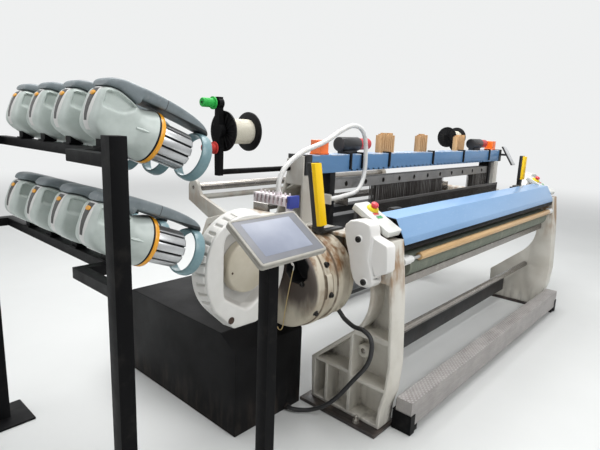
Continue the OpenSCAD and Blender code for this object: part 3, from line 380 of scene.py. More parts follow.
# Side frames: two heavy castings in light grey paint, browned by oil near the top, each on
# dark steel floor plates. The hollow front leg, the ribs and the flanges are the casting's own.
def eased(node, width, finish, suffix="cast", segments=2, angle=32):
    """A copy of a part with its triangles joined into whole faces and its sharp edges
    rounded over by the width, which is what a casting's fillets and a fold's bends look like."""
    mesh = frame["nodes"][node].data.copy()
    mesh.materials.clear()
    work = bmesh.new()
    work.from_mesh(mesh)
    bmesh.ops.remove_doubles(work, verts=work.verts, dist=2e-5)
    bmesh.ops.dissolve_limit(work, angle_limit=math.radians(0.6), verts=work.verts,
                             edges=work.edges)
    for face in work.faces:
        face.smooth = True
    work.to_mesh(mesh)
    work.free()
    mesh.materials.append(finish)
    piece = bpy.data.objects.new(f"{node}_{suffix}", mesh)
    bpy.context.scene.collection.objects.link(piece)
    bevel = piece.modifiers.new("rounded edges", "BEVEL")
    bevel.width, bevel.segments, bevel.limit_method = width, segments, "ANGLE"
    bevel.angle_limit, bevel.harden_normals = math.radians(angle), True
    bevel.use_clamp_overlap = False
    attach(piece, body_of[node])
    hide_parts(node)


def castings(name, light, dark, stain=(0.30, 0.19, 0.11), stain_from=0.8, stain_to=1.04,
             stained=0.8, corner_dirt_and_shade=0.8):
    """Painted casting: patchy paint, oil browning the top, dirt and painted shade in corners."""
    f = Finish(name)
    patches = f.speckle(0.22, 4)
    runs = f.speckle(0.05, 4, (1.0, 1.0, 5.0))
    oil = f.z.rise(stain_from, stain_to) * (patches + runs).rise(0.86, 1.22) * stained
    # Dark in the corners from the shade cast there, mottled like dirt: painted shade and dirt.
    dirt_and_corner_shade = (f.corners(0.06) * 1.5 * f.speckle(0.03, 5)).rise(0.22, 0.8) * corner_dirt_and_shade
    splash = (1 - f.z.rise(0.02, 0.25)) * runs.rise(0.4, 0.75) * 0.5
    f.between(patches.rise(0.35, 0.7), light, dark)
    f.over(oil, stain)
    f.over(dirt_and_corner_shade.larger(splash), (0.07, 0.055, 0.045))
    f.roughness = 0.42 + patches * 0.25 - oil * 0.12
    f.relief(f.speckle(0.006, 3) * 0.6 + f.speckle(0.05, 2) * 0.4, 0.0012)
    return f


frame_paint = castings("frame paint", (0.68, 0.655, 0.59), (0.57, 0.54, 0.475),
                       stain=(0.36, 0.235, 0.14), stain_from=0.62, stain_to=0.95, stained=1.3)
for side in ("left", "right"):
    eased(f"{side}_side_frame", 0.004, frame_paint.done())
oily_steel = Finish("oily floor steel")
oily_steel.between(oily_steel.speckle(0.08, 5).rise(0.4, 0.8), (0.022, 0.018, 0.017),
                   (0.11, 0.085, 0.07))
oily_steel.roughness = 0.22 + oily_steel.speckle(0.04, 4) * 0.4
oily_steel.grain(0.02, 0.001, 4)
eased("foot_plates", 0.0025, oily_steel.done(), "steel")
dark_paint = castings("dark frame paint", (0.03, 0.03, 0.032), (0.018, 0.018, 0.018), stained=0.0)
eased("cross_beams", 0.003, dark_paint.done(), "tube")


# Anchors: four hexagon heads on washers, zinc-plated, each with the end of its stud standing
# out of the head, bolted through the floor plates.
def turned(profile, sides=32, axis=(1, 0, 0), at=(0, 0, 0), about=0.0):
    """Circles about the axis: one ring for each (distance along it, radius) of the profile."""
    profile = np.array(profile, float)
    a = np.linspace(0, 2 * np.pi, sides, endpoint=False)
    x, r = profile[:, :1], profile[:, 1:2]
    rings = np.stack([x + 0 * a, r * np.cos(a), r * np.sin(a)], -1)
    turn = Vector(axis).to_track_quat("X", "Z").to_matrix() @ Matrix.Rotation(about, 3, "X")
    return rings @ np.array(turn).T + np.array(at)


def bolt(at, axis, across, height, socket=False):
    """A washer, and on it a hexagon head or a round socket head with a bevelled top."""
    thick = 0.12 * across
    washer = turned([(0, 0.62 * across), (thick, 0.62 * across)], 20, axis, at)
    r = across / 2 * (0.9 if socket else 1.15)
    profile = [(thick, r), (thick + height * 0.85, r), (thick + height, r * 0.86)]
    if socket:
        profile += [(thick + height, r * 0.5), (thick + height * 0.4, r * 0.48)]
    return [washer, turned(profile, 20 if socket else 6, axis, at, 0.4)]


zinc = Finish("zinc-plated bolts", 0.38, 0.85)
zinc.between(zinc.speckle(0.006, 3), (0.5, 0.49, 0.46), (0.2, 0.17, 0.14))
anchor_x, anchor_y, plate_top = 1.46, 0.62, 0.0205
stud = [(0.0005, 0.0085), (0.0405, 0.0085), (0.0435, 0.006)]
anchors = []
for x in (-anchor_x, anchor_x):
    for y in (-anchor_y, anchor_y):
        anchors += bolt((x, y, plate_top), (0, 0, 1), 0.03, 0.018)
        anchors.append(turned(stud, 16, (0, 0, 1), (x, y, plate_top)))
place_piece("anchor_bolts", skin(*anchors), zinc.done(), "foot_plates")


# Step beam: an aluminium section in front of the weaver's feet, its top studded with small
# raised bars and scuffed by shoes. A plate closes each end, and a black bracket and a foot
# folded from sheet hold it up.
def brushed(name, colour, roughness, metallic, length=(1.0, 1.0, 1.0), worn=0.5, soil_and_corner_shade=0.0,
            depth=0.0003):
    """Bare metal: fine lines along one axis, dull patches, dirt and painted shade in corners."""
    f = Finish(name, metallic=metallic)
    lines = f.speckle(0.0015, 2, length)
    patches = f.speckle(0.12, 4)
    f.between((lines * 0.5 + patches * 0.5).rise(0.35, 0.65), tuple(c * 0.72 for c in colour),
              colour)
    # The corners darken with the shade cast there, mixed with spots of dirt: painted shade and
    # dirt.
    if soil_and_corner_shade:
        mud_and_corner_shade = ((f.corners(0.05) + f.speckle(0.04, 5)) * 0.8).rise(0.45, 0.8) * soil_and_corner_shade
        f.over(mud_and_corner_shade, (0.06, 0.05, 0.04))
    f.roughness = roughness - 0.1 + patches * 0.2 * worn + lines * 0.1
    f.relief(lines, depth)
    return f


def slabs(lows, highs):
    """Boxes, one for each low and high corner: all eight corners are picked from the two."""
    lows, highs = np.asarray(lows, float), np.asarray(highs, float)
    pick = np.array([(i >> 2 & 1, i >> 1 & 1, i & 1) for i in range(8)])[None]
    points = lows[:, None] * (1 - pick) + highs[:, None] * pick
    sides = np.array([(0, 1, 3, 2), (4, 6, 7, 5), (0, 4, 5, 1), (2, 3, 7, 6), (0, 2, 6, 4),
                      (1, 5, 7, 3)])
    faces = (sides[None] + 8 * np.arange(len(lows))[:, None, None]).reshape(-1, 4)
    mesh = bpy.data.meshes.new("slabs")
    mesh.from_pydata(points.reshape(-1, 3).tolist(), [], faces.tolist())
    return mesh


tread = brushed("scuffed step aluminium", (0.44, 0.415, 0.40), 0.5, 0.35, (30, 1, 1), 0.8)
low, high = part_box("step_beam")
bar_pitch_x, bar_pitch_y = 0.03, 0.0275
studs = (tread.x.sine(bar_pitch_x) * tread.y.sine(bar_pitch_y)).rise(0.25, 0.5)
studs = studs * tread.z.rise(high.z - 0.003, high.z - 0.001)
on_top = tread.z.rise(high.z - 0.004, high.z - 0.001)
scuffs = tread.speckle(0.05, 5, (4, 1, 1)).rise(0.45, 0.75) * (0.25 + on_top * 0.5)
streaks = tread.speckle(0.012, 4, (25, 1, 1)).rise(0.4, 0.7) * (1 - on_top) * 0.35
tread.over(scuffs, (0.24, 0.215, 0.205))
tread.over(streaks, (0.30, 0.29, 0.28))
tread.over(studs * 0.45, (0.66, 0.64, 0.635))
tread.relief(studs + tread.speckle(0.004, 3) * 0.2, 0.0015)
eased("step_beam", 0.0012, tread.done(), "section")
black_paint = Finish("black paint", Specular_IOR_Level=0.09)
black_paint.between(black_paint.speckle(0.05, 5).rise(0.5, 0.8), (0.0035, 0.0035, 0.004),
                    (0.014, 0.013, 0.012))
black_paint.roughness = 0.32 + black_paint.speckle(0.07, 4) * 0.3
black_paint.grain(0.003, 0.0003)
eased("step_brackets", 0.0015, black_paint.done(), "plate")
in_walls = Vector((0, 0.003, 0.0035))
outside, behind = high.x + 0.0035, high.y + 0.0005
foot_z, sheet_top = 0.002, 0.112
end_plate = [((high.x - 0.009, *(low + in_walls).yz), (high.x - 0.0018, *(high - in_walls).yz))]
foot_sheets = [((high.x + 0.0005, low.y - 0.0035, foot_z), (outside, behind, sheet_top)),
               ((high.x - 0.041, low.y - 0.0035, foot_z),
                (high.x + 0.0005, low.y - 0.0005, sheet_top)),
               ((high.x - 0.025, behind, foot_z), (outside, behind + 0.016, sheet_top + 0.006))]
for side, sign in (("left", -1), ("right", 1)):
    for name, finish, node, boxes in (("end", tread, "step_beam", end_plate),
                                      ("foot", black_paint, "step_brackets", foot_sheets)):
        corners = np.array(boxes) * (sign, 1, 1)
        place_piece(f"{side}_step_{name}", slabs(corners[:, 0], corners[:, 1]), finish.material,
                    node)


# Breast beam and its folded cover: a black hollow beam under a light blue sheet with two long
# bends, flecked pale with dust, and the plate with slotted holes behind it.
blue = Finish("light blue sheet paint", Coat_Weight=0.25)
blotches = blue.speckle(0.3, 3, (3, 1, 1))
dust = blue.speckle(0.012, 4, (3, 1, 1)).rise(0.55, 0.9) * 0.35
blue.between(blotches.rise(0.3, 0.75), (0.17, 0.335, 0.575), (0.235, 0.405, 0.65))
blue.over(dust, (0.55, 0.66, 0.78))
blue.roughness = 0.26 + blotches * 0.16 + dust * 0.3
blue.relief(blue.speckle(0.25, 2, (2, 1, 1)), 0.002)
eased("breast_cover", 0.0018, blue.done(), "sheet", segments=3, angle=12)
eased("breast_beam", 0.002, black_paint.material, "beam")
dull_steel = brushed("dull steel strip", (0.64, 0.60, 0.57), 0.5, 0.12, (40, 1, 1), 0.8, 0.35)
eased("temple_plate", 0.0008, dull_steel.done(), "strip")
dark_steel = brushed("dark steel", (0.09, 0.088, 0.085), 0.4, 0.6, (1, 1, 1), 0.8, 0.5)
eased("temples", 0.0012, dark_steel.done(), "holder")


# Press roller: a turned and varnished wooden bar, worn by handling, on steel journals that
# run in white plastic brackets.
wood = Finish("varnished roller wood", Coat_Weight=0.2)
fibre = wood.speckle(0.002, 3, (60, 1, 1))
year_rings = wood.speckle(0.02, 4, (30, 1, 1))
wood.between((fibre * 0.5 + year_rings * 0.5).rise(0.35, 0.65), (0.50, 0.29, 0.12),
             (0.70, 0.47, 0.23))
wood.over(wood.speckle(0.15, 4, (2, 1, 1)).rise(0.5, 0.8) * 0.4, (0.36, 0.22, 0.11))
wood.roughness = 0.3 + fibre * 0.2
low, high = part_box("press_roller")
journal_r, bar_end, journal_from = 0.0097, 1.12, 1.131
middle = (low + high) / 2
off_axis = distance(wood.y - middle.y, wood.z - middle.z)
on_journal = 1 - off_axis.rise(journal_r, journal_r + 0.0004)
at_end = on_journal * (wood.x ** 2).rise(bar_end ** 2, journal_from ** 2)
wood.over(at_end, (0.42, 0.42, 0.41))
wood.metallic = at_end * 0.9
wood.relief(fibre, 0.0004)
eased("press_roller", 0.0015, wood.done(), "bar")
white_plastic = Finish("white bracket plastic", 0.38)
# Dirt and painted shade in the brackets' corners.
white_plastic.between(white_plastic.grime(0.02, 0.6), (0.74, 0.74, 0.72), (0.28, 0.25, 0.22))
eased("roller_brackets", 0.002, white_plastic.done(), "moulding")


# Take-up roller, guide bar and cloth shaft: the roller's fine emery cover grips the cloth,
# the bar and the shaft are bright steel.
emery = Finish("grey-green emery cover", 0.75)
emery.between(emery.speckle(0.002, 2).rise(0.3, 0.7), (0.10, 0.115, 0.09), (0.21, 0.235, 0.185))
emery.over(emery.speckle(0.2, 3, (0.2, 1, 1)).rise(0.45, 0.8) * 0.4, (0.32, 0.32, 0.26))
emery.grain(0.0012, 0.0006)
eased("take_up_roller", 0.002, emery.done(), "cover")
bright_steel = brushed("bright drawn steel", (0.37, 0.345, 0.315), 0.24, 0.8, (60, 1, 1), 0.6, 0.5,
                       0.00006)
bright_steel.done()
for node in ("cloth_guide_bar", "cloth_shaft"):
    eased(node, 0.001, bright_steel.material, "steel")


# Sley and reed: a grey extruded sley on rocking swords, and a comb of thin steel dents
# between two baulks. The dents are far finer than the ridges of the solid part.
sley_metal = castings("sley paint", (0.30, 0.31, 0.32), (0.20, 0.205, 0.21), stain_from=0.9,
                      stained=0.4)
eased("sley_beam", 0.002, sley_metal.done(), "extrusion")
for node in ("sley_bearings", "back_rest_brackets"):
    bracket_paint = castings(f"{node} paint", (0.42, 0.41, 0.37), (0.30, 0.29, 0.26), stained=0.3)
    eased(node, 0.003, bracket_paint.done())
low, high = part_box("reed")
baulk, baulk_depth, dent_pitch = 0.018, 0.01, 0.0036
x = np.arange(low.x + baulk, high.x - baulk, dent_pitch)
dents = np.stack([x, 0 * x + (low.y + high.y) / 2 - 0.0035, 0 * x + low.z + baulk - 0.004], 1)
dent_size = np.array([0.0011, 0.007, high.z - low.z - 2 * baulk + 0.008])
bars = np.array([(low.x, low.y, low.z), (low.x, low.y, high.z - baulk),
                 (low.x, low.y, low.z), (high.x - baulk, low.y, low.z)])
bar_size = np.array([(high.x - low.x, baulk_depth, baulk)] * 2
                    + [(baulk, baulk_depth, high.z - low.z)] * 2)
comb = slabs(np.vstack([dents, bars]), np.vstack([dents + dent_size, bars + bar_size]))
reed_steel = brushed("reed steel", (0.23, 0.225, 0.22), 0.35, 0.7, (1, 1, 30), 0.6, 0.5)
place_piece("reed_comb", comb, reed_steel.done(), "reed", True)


# Heald frames: aluminium rails with pressed windows, and between them hundreds of healds of
# flat steel wire. Black plastic guides hold the frames at both ends.
def coat(finish, *nodes):
    """Gives the finish to parts that keep their own meshes."""
    for node in nodes:
        mesh = frame["nodes"][node].data
        mesh.materials.clear()
        mesh.materials.append(finish)


rail_metal = brushed("heald rail aluminium", (0.36, 0.35, 0.34), 0.42, 0.7, (40, 1, 1), 0.8, 0.8)
heald_wire = brushed("heald wire", (0.20, 0.185, 0.175), 0.35, 0.75, (1, 1, 40), 0.6, 0.3)
coat(rail_metal.done(), *(f"heald_frame_{number}" for number in range(1, 5)))
heald_pitch, foot_down, head_down = 0.0052, 0.340, 0.060
seeded = np.random.default_rng(7)
for number in range(1, 5):
    low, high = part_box(f"heald_frame_{number}")
    x = np.concatenate([np.arange(-0.70, 0.285, heald_pitch), np.arange(0.88, 1.155, heald_pitch)])
    x = x + seeded.uniform(-0.0011, 0.0011, len(x)) + 0.0013 * number
    y = (low.y + high.y) / 2 + seeded.uniform(-0.003, 0.003, len(x))
    wires = slabs(np.stack([x, y - 0.0008, 0 * x + high.z - foot_down], 1),
                  np.stack([x + 0.0017, y + 0.0008, 0 * x + high.z - head_down], 1))
    place_piece(f"healds_{number}", wires, heald_wire.done(), f"heald_frame_{number}")
black_plastic = Finish("black plastic", 0.45, Specular_IOR_Level=0.2)
black_plastic.between(black_plastic.speckle(0.04, 4).rise(0.5, 0.85), (0.007, 0.007, 0.008),
                      (0.03, 0.028, 0.026))
black_plastic.grain(0.002, 0.0002)
eased("heald_guides", 0.0015, black_plastic.done(), "guide")


# Uprights and heald beam: two ribbed castings carry a folded blue beam with black plastic
# ends, slots for hooks along its lower edge, straps round it for cables, plywood spacers and
# orange signal lamps.
upright_paint = castings("upright paint", (0.66, 0.65, 0.60), (0.55, 0.53, 0.48), stain_from=1.0,
                         stain_to=1.5, stained=0.25)
eased("uprights", 0.003, upright_paint.done())
beam_blue = Finish("heald beam blue", Coat_Weight=0.15)
tone = beam_blue.speckle(0.25, 4, (3, 1, 1))
lint = beam_blue.z.rise(1.43, 1.4399) * beam_blue.speckle(0.05, 5).rise(0.35, 0.7)
hole_x, hole_z, hole_r = -1.345, 1.392, 0.009
from_hole = distance(beam_blue.x - hole_x, beam_blue.z - hole_z)
beam_blue.between(tone.rise(0.3, 0.75), (0.085, 0.215, 0.42), (0.125, 0.27, 0.49))
beam_blue.over(lint, (0.62, 0.63, 0.62))
# A near-black disc at the left end: painted shade of a hole.
beam_blue.over(1 - from_hole.rise(hole_r, hole_r + 0.0015), (0.01, 0.015, 0.03))
beam_blue.roughness = 0.3 + tone * 0.15 + lint * 0.4
eased("heald_beam", 0.0015, beam_blue.done(), "sheet")
end_plastic = Finish("beam end plastic", 0.42)
end_plastic.between(end_plastic.x.rise(1.46, 1.468), (0.018, 0.018, 0.019), (0.52, 0.53, 0.54))
eased("beam_end_caps", 0.003, end_plastic.done(), "cap")
eased("harness_clamps", 0.0012, black_plastic.material, "strap")
sheet_wood = Finish("plywood spacers", 0.6)
plies = sheet_wood.x.sine(0.0065).rise(-0.2, 0.4)
sheet_wood.between(plies * 0.5, (0.62, 0.37, 0.17), (0.36, 0.18, 0.08))
sheet_wood.over(sheet_wood.speckle(0.01, 4, (1, 1, 6)).rise(0.4, 0.8) * 0.5, (0.78, 0.55, 0.32))
eased("wooden_spacers", 0.0008, sheet_wood.done(), "plies")
lamp_plastic = Finish("orange lamp plastic", 0.25, Coat_Weight=0.4)
lamp_plastic.between(lamp_plastic.y.sine(0.009).rise(-0.5, 0.9) * 0.35, (1.0, 0.19, 0.02),
                     (0.78, 0.10, 0.01))
eased("signal_lamps", 0.004, lamp_plastic.done(), "lens")


# Selvedge motors: black motors with finned bodies and red plastic end caps, on low saddles
# that are fixed on top of the heald beam.
motor_paint = Finish("selvedge motor paint", 0.4)
along, fin_pitch = motor_paint.x, 0.012
caps = along.band(-0.876, -0.76, 0.002).larger(along.band(1.074, 1.19, 0.002))
motor_paint.between(caps * motor_paint.z.rise(1.455, 1.46), (0.02, 0.02, 0.022),
                    (0.55, 0.03, 0.04))
motor_paint.relief(along.sine(fin_pitch).rise(-0.3, 0.3), 0.0015)
eased("selvedge_motors", 0.003, motor_paint.done(), "motor")


# Spools: cream yarn wound between black ribbed flanges, on black arms with two small
# coloured bobbins at the left end.
yarn = Finish("cream yarn", 0.85)
yarn.between(yarn.speckle(0.003, 3, (0.3, 1, 1)).rise(0.3, 0.7), (0.66, 0.61, 0.47),
             (0.86, 0.83, 0.72))
yarn.relief(yarn.x.sine(0.0018).rise(-1, 1) + yarn.speckle(0.004, 2) * 0.5, 0.0006)
for side in ("left", "right"):
    node = f"{side}_spool"
    low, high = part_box(node)
    middle = np.array((low + high) / 2)
    half, rim = (high.x - low.x) / 2, (high.z - low.z) / 2
    core = rim * 0.63
    winding = [(-half + 0.007, core * 0.97), (-half + 0.012, core), (half - 0.012, core * 0.99),
               (half - 0.007, core * 0.96)]
    place_piece(f"{node}_yarn", skin(turned(winding, 64, at=middle)), yarn.done(), node)
    profile = [(0.0, 0.009), (0.0, rim * 0.2), (-0.003, rim * 0.24), (-0.001, rim * 0.9),
               (-0.004, rim * 0.93), (-0.004, rim), (0.003, rim), (0.006, rim * 0.93),
               (0.006, rim * 0.2), (0.006, 0.009), (0.0, 0.009)]
    flanges, ribs = [], []
    for end in (-1, 1):
        centre = middle + (end * (half - 0.005), 0, 0)
        flanges.append(turned([(-end * x, r) for x, r in profile], 64, at=centre))
        for a in np.arange(16) * math.pi / 8:
            rib = [(end * (half - 0.0008), rim * share * math.cos(a), rim * share * math.sin(a))
                   for share in (0.22, 0.9)]
            ribs.append(tube_rings(middle + rib, 0.0022, 6))
    place_piece(f"{node}_flanges", skin(*flanges, ends=False), black_plastic.material, node, True)
    place_piece(f"{node}_ribs", skin(*ribs), black_plastic.material, node)
coat(black_paint.material, "spool_stands")
bobbin = [(-0.033, 0.0195), (-0.03, 0.0215), (0.026, 0.0215), (0.027, 0.03), (0.034, 0.03),
          (0.035, 0.012)]
for name, colour, x, z in (("green_bobbin", (0.02, 0.50, 0.07), -2.035, 1.69),
                           ("red_bobbin", (0.62, 0.04, 0.03), -2.028, 1.48)):
    thread = Finish(name.replace("_", " "), 0.6)
    thread.between(thread.speckle(0.003, 3, (0.3, 1, 1)), tuple(0.5 * c for c in colour),
                   tuple(min(1, 1.3 * c) for c in colour))
    thread.relief(thread.x.sine(0.002).rise(-1, 1), 0.0004)
    place_piece(name, skin(turned(bobbin, 32, at=(x, -0.06, z))), thread.done(), "spool_stands")


# Drive ends: a turned and ribbed casting on each frame, soaked in brown oil on top, with cap
# screws, a raised pad on its first band, and an octagonal opening in its end that is painted
# near black inside as shade. A hook of bent wire hangs on the left one.
drive_y, drive_z, band_r = -0.285, 0.8, 0.250
window_y, window_z, window_r = -0.397, 0.898, 0.080
housing_paint = castings("drive housing paint", (0.55, 0.50, 0.40), (0.42, 0.37, 0.28),
                         stain=(0.20, 0.105, 0.045), stain_from=0.64, stain_to=0.94, stained=1.2,
                         corner_dirt_and_shade=1.0)
from_window = distance(housing_paint.y - window_y, housing_paint.z - window_z)
smoked = (from_window + housing_paint.speckle(0.05, 4, (1, 1, 4)) * 0.16).rise(0.22, 0.36)
end_face = (housing_paint.x ** 2).rise(2.93, 2.99)
housing_paint.over((1 - smoked) * end_face * 0.95, (0.034, 0.021, 0.016))
from_middle = abs(housing_paint.x)
# Dark brown lines in the creases at the bands' feet: painted shade, mottled like oil.
for foot in (1.668, 1.624, 1.568, 1.523):
    crease_shade_and_oil = from_middle.band(foot - 0.0015, foot + 0.0015, 0.003)
    crease_shade_and_oil = crease_shade_and_oil * (housing_paint.speckle(0.05, 4).rise(0.2, 0.6) * 0.6 + 0.3)
    housing_paint.over(crease_shade_and_oil, (0.10, 0.065, 0.035))
# Inside the opening, deeper than the end face, the paint is near black: painted shade.
cavity_shade = (1 - from_window.rise(window_r, window_r + 0.003)) * (1 - from_middle.rise(1.7415, 1.7438))
housing_paint.over(cavity_shade, (0.006, 0.006, 0.007))
black_oxide = Finish("black bolts", metallic=0.5)
black_oxide.colour = (0.02, 0.019, 0.018)
black_oxide.roughness = 0.3 + black_oxide.speckle(0.004, 2) * 0.2


def on_drive(sign, angle, x, r):
    """A point at this angle round the drive's axis and this distance from it."""
    a = math.radians(angle)
    return sign * x, drive_y + r * math.cos(a), drive_z + r * math.sin(a)


for side, sign in (("left", -1), ("right", 1)):
    node = f"{side}_drive_housing"
    eased(node, 0.0035, housing_paint.done())
    screws = []
    for angle, x, r in ((150, 1.641, 0.2495), (185, 1.643, 0.2565), (209, 1.700, 0.2395)):
        outwards = (0, math.cos(math.radians(angle)), math.sin(math.radians(angle)))
        screws += bolt(on_drive(sign, angle, x, r), outwards, 0.026, 0.012, socket=True)
    screws += bolt((sign * 1.745, -0.44, 0.83), (sign, 0, 0), 0.024, 0.010, socket=True)
    place_piece(f"{side}_housing_screws", skin(*screws), black_oxide.done(), node)
    # The pad's stepped section is carried in an arc about the drive's axis.
    pad = []
    for angle in np.linspace(161, 190, 16):
        edge = min(1.0, (angle - 160.4) / 2, (190.6 - angle) / 2)
        shoulder, top = band_r + 0.006 * edge, band_r + 0.008 * edge
        section = ((1.615, 0.238), (1.615, shoulder), (1.619, top), (1.662, top),
                   (1.666, shoulder), (1.666, 0.238))
        pad.append([on_drive(sign, angle, x, r) for x, r in section])
    place_piece(f"{side}_housing_pad", skin(pad), housing_paint.material, node)
hook = curve_through([(-1.752, -0.377, 0.915), (-1.758, -0.372, 0.925), (-1.760, -0.380, 0.930),
                      (-1.758, -0.389, 0.920), (-1.754, -0.385, 0.900), (-1.752, -0.371, 0.850),
                      (-1.753, -0.345, 0.720), (-1.754, -0.330, 0.620), (-1.755, -0.325, 0.575),
                      (-1.757, -0.314, 0.553), (-1.757, -0.297, 0.551), (-1.757, -0.288, 0.562)],
                     12)
wire_paint = Finish("yellow hook wire", 0.5)
wire_paint.between(wire_paint.z.rise(0.885, 0.895), (0.50, 0.38, 0.17), (0.72, 0.71, 0.66))
wire_paint.grain(0.003, 0.0002)
place_piece("hook_wire", skin(tube_rings(evenly(hook, 0.003)[0], 0.0026, 8)), wire_paint.done(),
            "left_drive_housing", smooth=70)


# Rapier covers: white moulded pans with a cone-shaped rim that has grip pads, a flat front
# ring, a deep recess and a chin with a sunk screw; a beige hub disc sits in the recess.
wheel_x, wheel_y, wheel_z, pan_r = 2.01, -0.34, 0.95, 0.262


def pan(sign):
    """Rings about the wheel's axis. Each point of the section goes from the recess's middle
    over the flat ring and down the cone. The recess is a polygon with soft corners, from the
    distances of its sides; the outline is a circle, or the chin's sides where they lie farther
    out; between grip pads the cone is cut by narrow grooves."""
    degrees = np.linspace(0, 360, 576, endpoint=False)
    a = np.radians(degrees)
    chin = np.min([d / np.maximum(np.cos(a - math.radians(n)), 0.3)
                   for n, d in ((-135.0, 0.263), (-91.6, 0.290), (-49.9, 0.261))], 0)
    at_chin = (degrees > 225) & (degrees < 311)
    outer = np.where(at_chin, np.maximum(chin, pan_r), pan_r)
    recess = ((180, 0.150), (90, 0.178), (0, 0.150), (-122.1, 0.188), (-57.9, 0.188),
              (141.8, 0.2106), (38.2, 0.2106))
    inner = sum((np.maximum(np.cos(a - math.radians(n)), 0) / d) ** 16
                for n, d in recess) ** (-1 / 16)
    front = np.interp(degrees, (0, 21, 42, 62, 90, 118, 138, 159, 180, 208, 227, 244, 253, 279, 300,
                                313, 332, 360),
                      (0.240, 0.247, 0.256, 0.250, 0.244, 0.250, 0.256, 0.247, 0.240, 0.248,
                       0.263, 0.284, 0.297, 0.294, 0.276, 0.263, 0.248, 0.240))
    front = np.convolve(np.concatenate([front[-12:], front, front[:12]]), np.ones(25) / 25, "valid")
    front = np.minimum(front, outer - 0.004)
    pad_pitch = 10.5
    turn = np.abs((degrees - 100) / pad_pitch % 1 - 0.5) * pad_pitch
    groove = np.clip((1.5 - turn) / 0.7, 0, 1) * ((degrees > 99) & (degrees < 232))
    padded = np.clip((turn - 1.5) / 0.7, 0, 1) * ((degrees > 105) & (degrees < 226))
    section = [(inner * share + inset, y) for share, inset, y in (
        (0.0, 0.0, 0.05), (0.5, 0.0, 0.05), (0.87, 0.0, 0.05), (0.885, 0.0, 0.047),
        (0.91, 0.0, 0.038), (0.935, 0.0, 0.024), (0.96, 0.0, 0.011), (0.982, 0.0, 0.0035),
        (1.0, 0.001, 0.0007), (1.0, 0.008, 0.0))]
    section += [(front - inset, y) for inset, y in (
        (0.010, 0.0), (0.004, 0.0008), (0.001, 0.003), (0.0, 0.006))]
    for share, grip in ((0.08, 0), (0.12, 1), (0.40, 1), (0.70, 1), (0.74, 0), (1.0, 0)):
        r = front + (outer - front) * share + grip * (0.004 * padded - 0.0075 * groove)
        section.append((np.minimum(r, outer), 0.006 + 0.0737 * share))
    section += [(outer - 0.005, 0.0797), (front - 0.006, 0.020), (front - 0.014, 0.008)]
    rings = []
    for r, y in section:
        r = np.maximum(r, 0.012)
        rings.append(np.stack([sign * (wheel_x - r * np.cos(a)), wheel_y + y + 0 * a,
                               wheel_z + r * np.sin(a)], -1))
    return rings


gloss_white = Finish("white cover plastic", Coat_Weight=0.15)
smears = gloss_white.speckle(0.1, 4)
# Corners darkened from the shade cast there, mottled like soil: painted shade and soil.
soil_and_corner_shade = (gloss_white.corners(0.05) * 1.2 * gloss_white.speckle(0.03, 5)).rise(0.3, 0.9) * 0.7
hub_squared = (abs(gloss_white.x) - wheel_x) ** 2 + (gloss_white.z - wheel_z) ** 2
# Inside the recess round the hub the white is greyed: painted shade in the recess.
recess_shade = (1 - hub_squared.rise(0.0345, 0.0375)) * gloss_white.y.rise(-0.336, -0.322)
in_front = 1 - gloss_white.y.rise(-0.5, -0.45)
gloss_white.between(smears.rise(0.3, 0.75), (0.655, 0.645, 0.61), (0.72, 0.71, 0.68))
gloss_white.over(recess_shade * 0.75, (0.42, 0.405, 0.38))
gloss_white.over(in_front * 0.8, (0.84, 0.825, 0.80))
gloss_white.over(soil_and_corner_shade, (0.20, 0.17, 0.14))
gloss_white.roughness = 0.26 + smears * 0.2
gloss_white.grain(0.0015, 0.00015)
beige = Finish("beige hub plastic", 0.4)
beige.between(beige.speckle(0.08, 4).rise(0.3, 0.8), (0.47, 0.425, 0.33), (0.54, 0.495, 0.40))
# Darker in the corners round the hub, from the shade cast there: painted shade.
beige.over(beige.corners(0.02).rise(0.3, 0.9) * 0.6, (0.25, 0.22, 0.17))
beige.grain(0.0015, 0.00015)
rusty = Finish("rusty sunk screw", 0.5, 0.3)
rusty.between(rusty.speckle(0.006, 3), (0.012, 0.009, 0.008), (0.09, 0.045, 0.025))
for side, sign in (("left", -1), ("right", 1)):
    node = f"{side}_rapier_cover"
    shell = skin(pan(sign), ends=False)
    place_piece(f"{side}_cover_shell", shell, gloss_white.done(), node, True, 40)
    for name, x, z, r in (("cover_screw", 0.103, -0.238, 0.0175),
                          ("hub_screw", 0.099, -0.013, 0.0055)):
        screw = turned([(0.003, r), (-0.0004, r), (-0.0012, r * 0.9), (-0.0012, r * 0.8),
                        (-0.0003, r * 0.72), (-0.0002, r * 0.35), (-0.0007, r * 0.3),
                        (-0.0007, r * 0.05)], 32, (0, 1, 0),
                       (sign * (wheel_x + x), wheel_y - 0.0002, wheel_z + z))
        place_piece(f"{side}_{name}", skin(screw), rusty.done(), node)
eased("hub_covers", 0.006, beige.done(), "moulding", segments=3)
coat(rail_metal.material, "left_rapier_wheel", "right_rapier_wheel")


# Gearbox cover, weft selector and control boxes: thick white and light grey mouldings. The
# boxes carry a red mushroom button in a yellow collar and two pads of flat keys.
eased("gearbox_cover", 0.009, gloss_white.material, "moulding", segments=4, angle=40)
knob = [(0.0, 0.0165), (0.006, 0.0165), (0.010, 0.013), (0.010, 0.006), (0.006, 0.005)]
knobs = [turned(knob, 32, (-1, 0, 0), (-1.5265, y, z)) for y, z in (
    (-0.606, 1.059), (-0.652, 0.847))]
place_piece("gearbox_screws", skin(*knobs), black_oxide.material, "gearbox_cover")
selector = Finish("selector plastic", 0.35)
well_pitch = 0.03
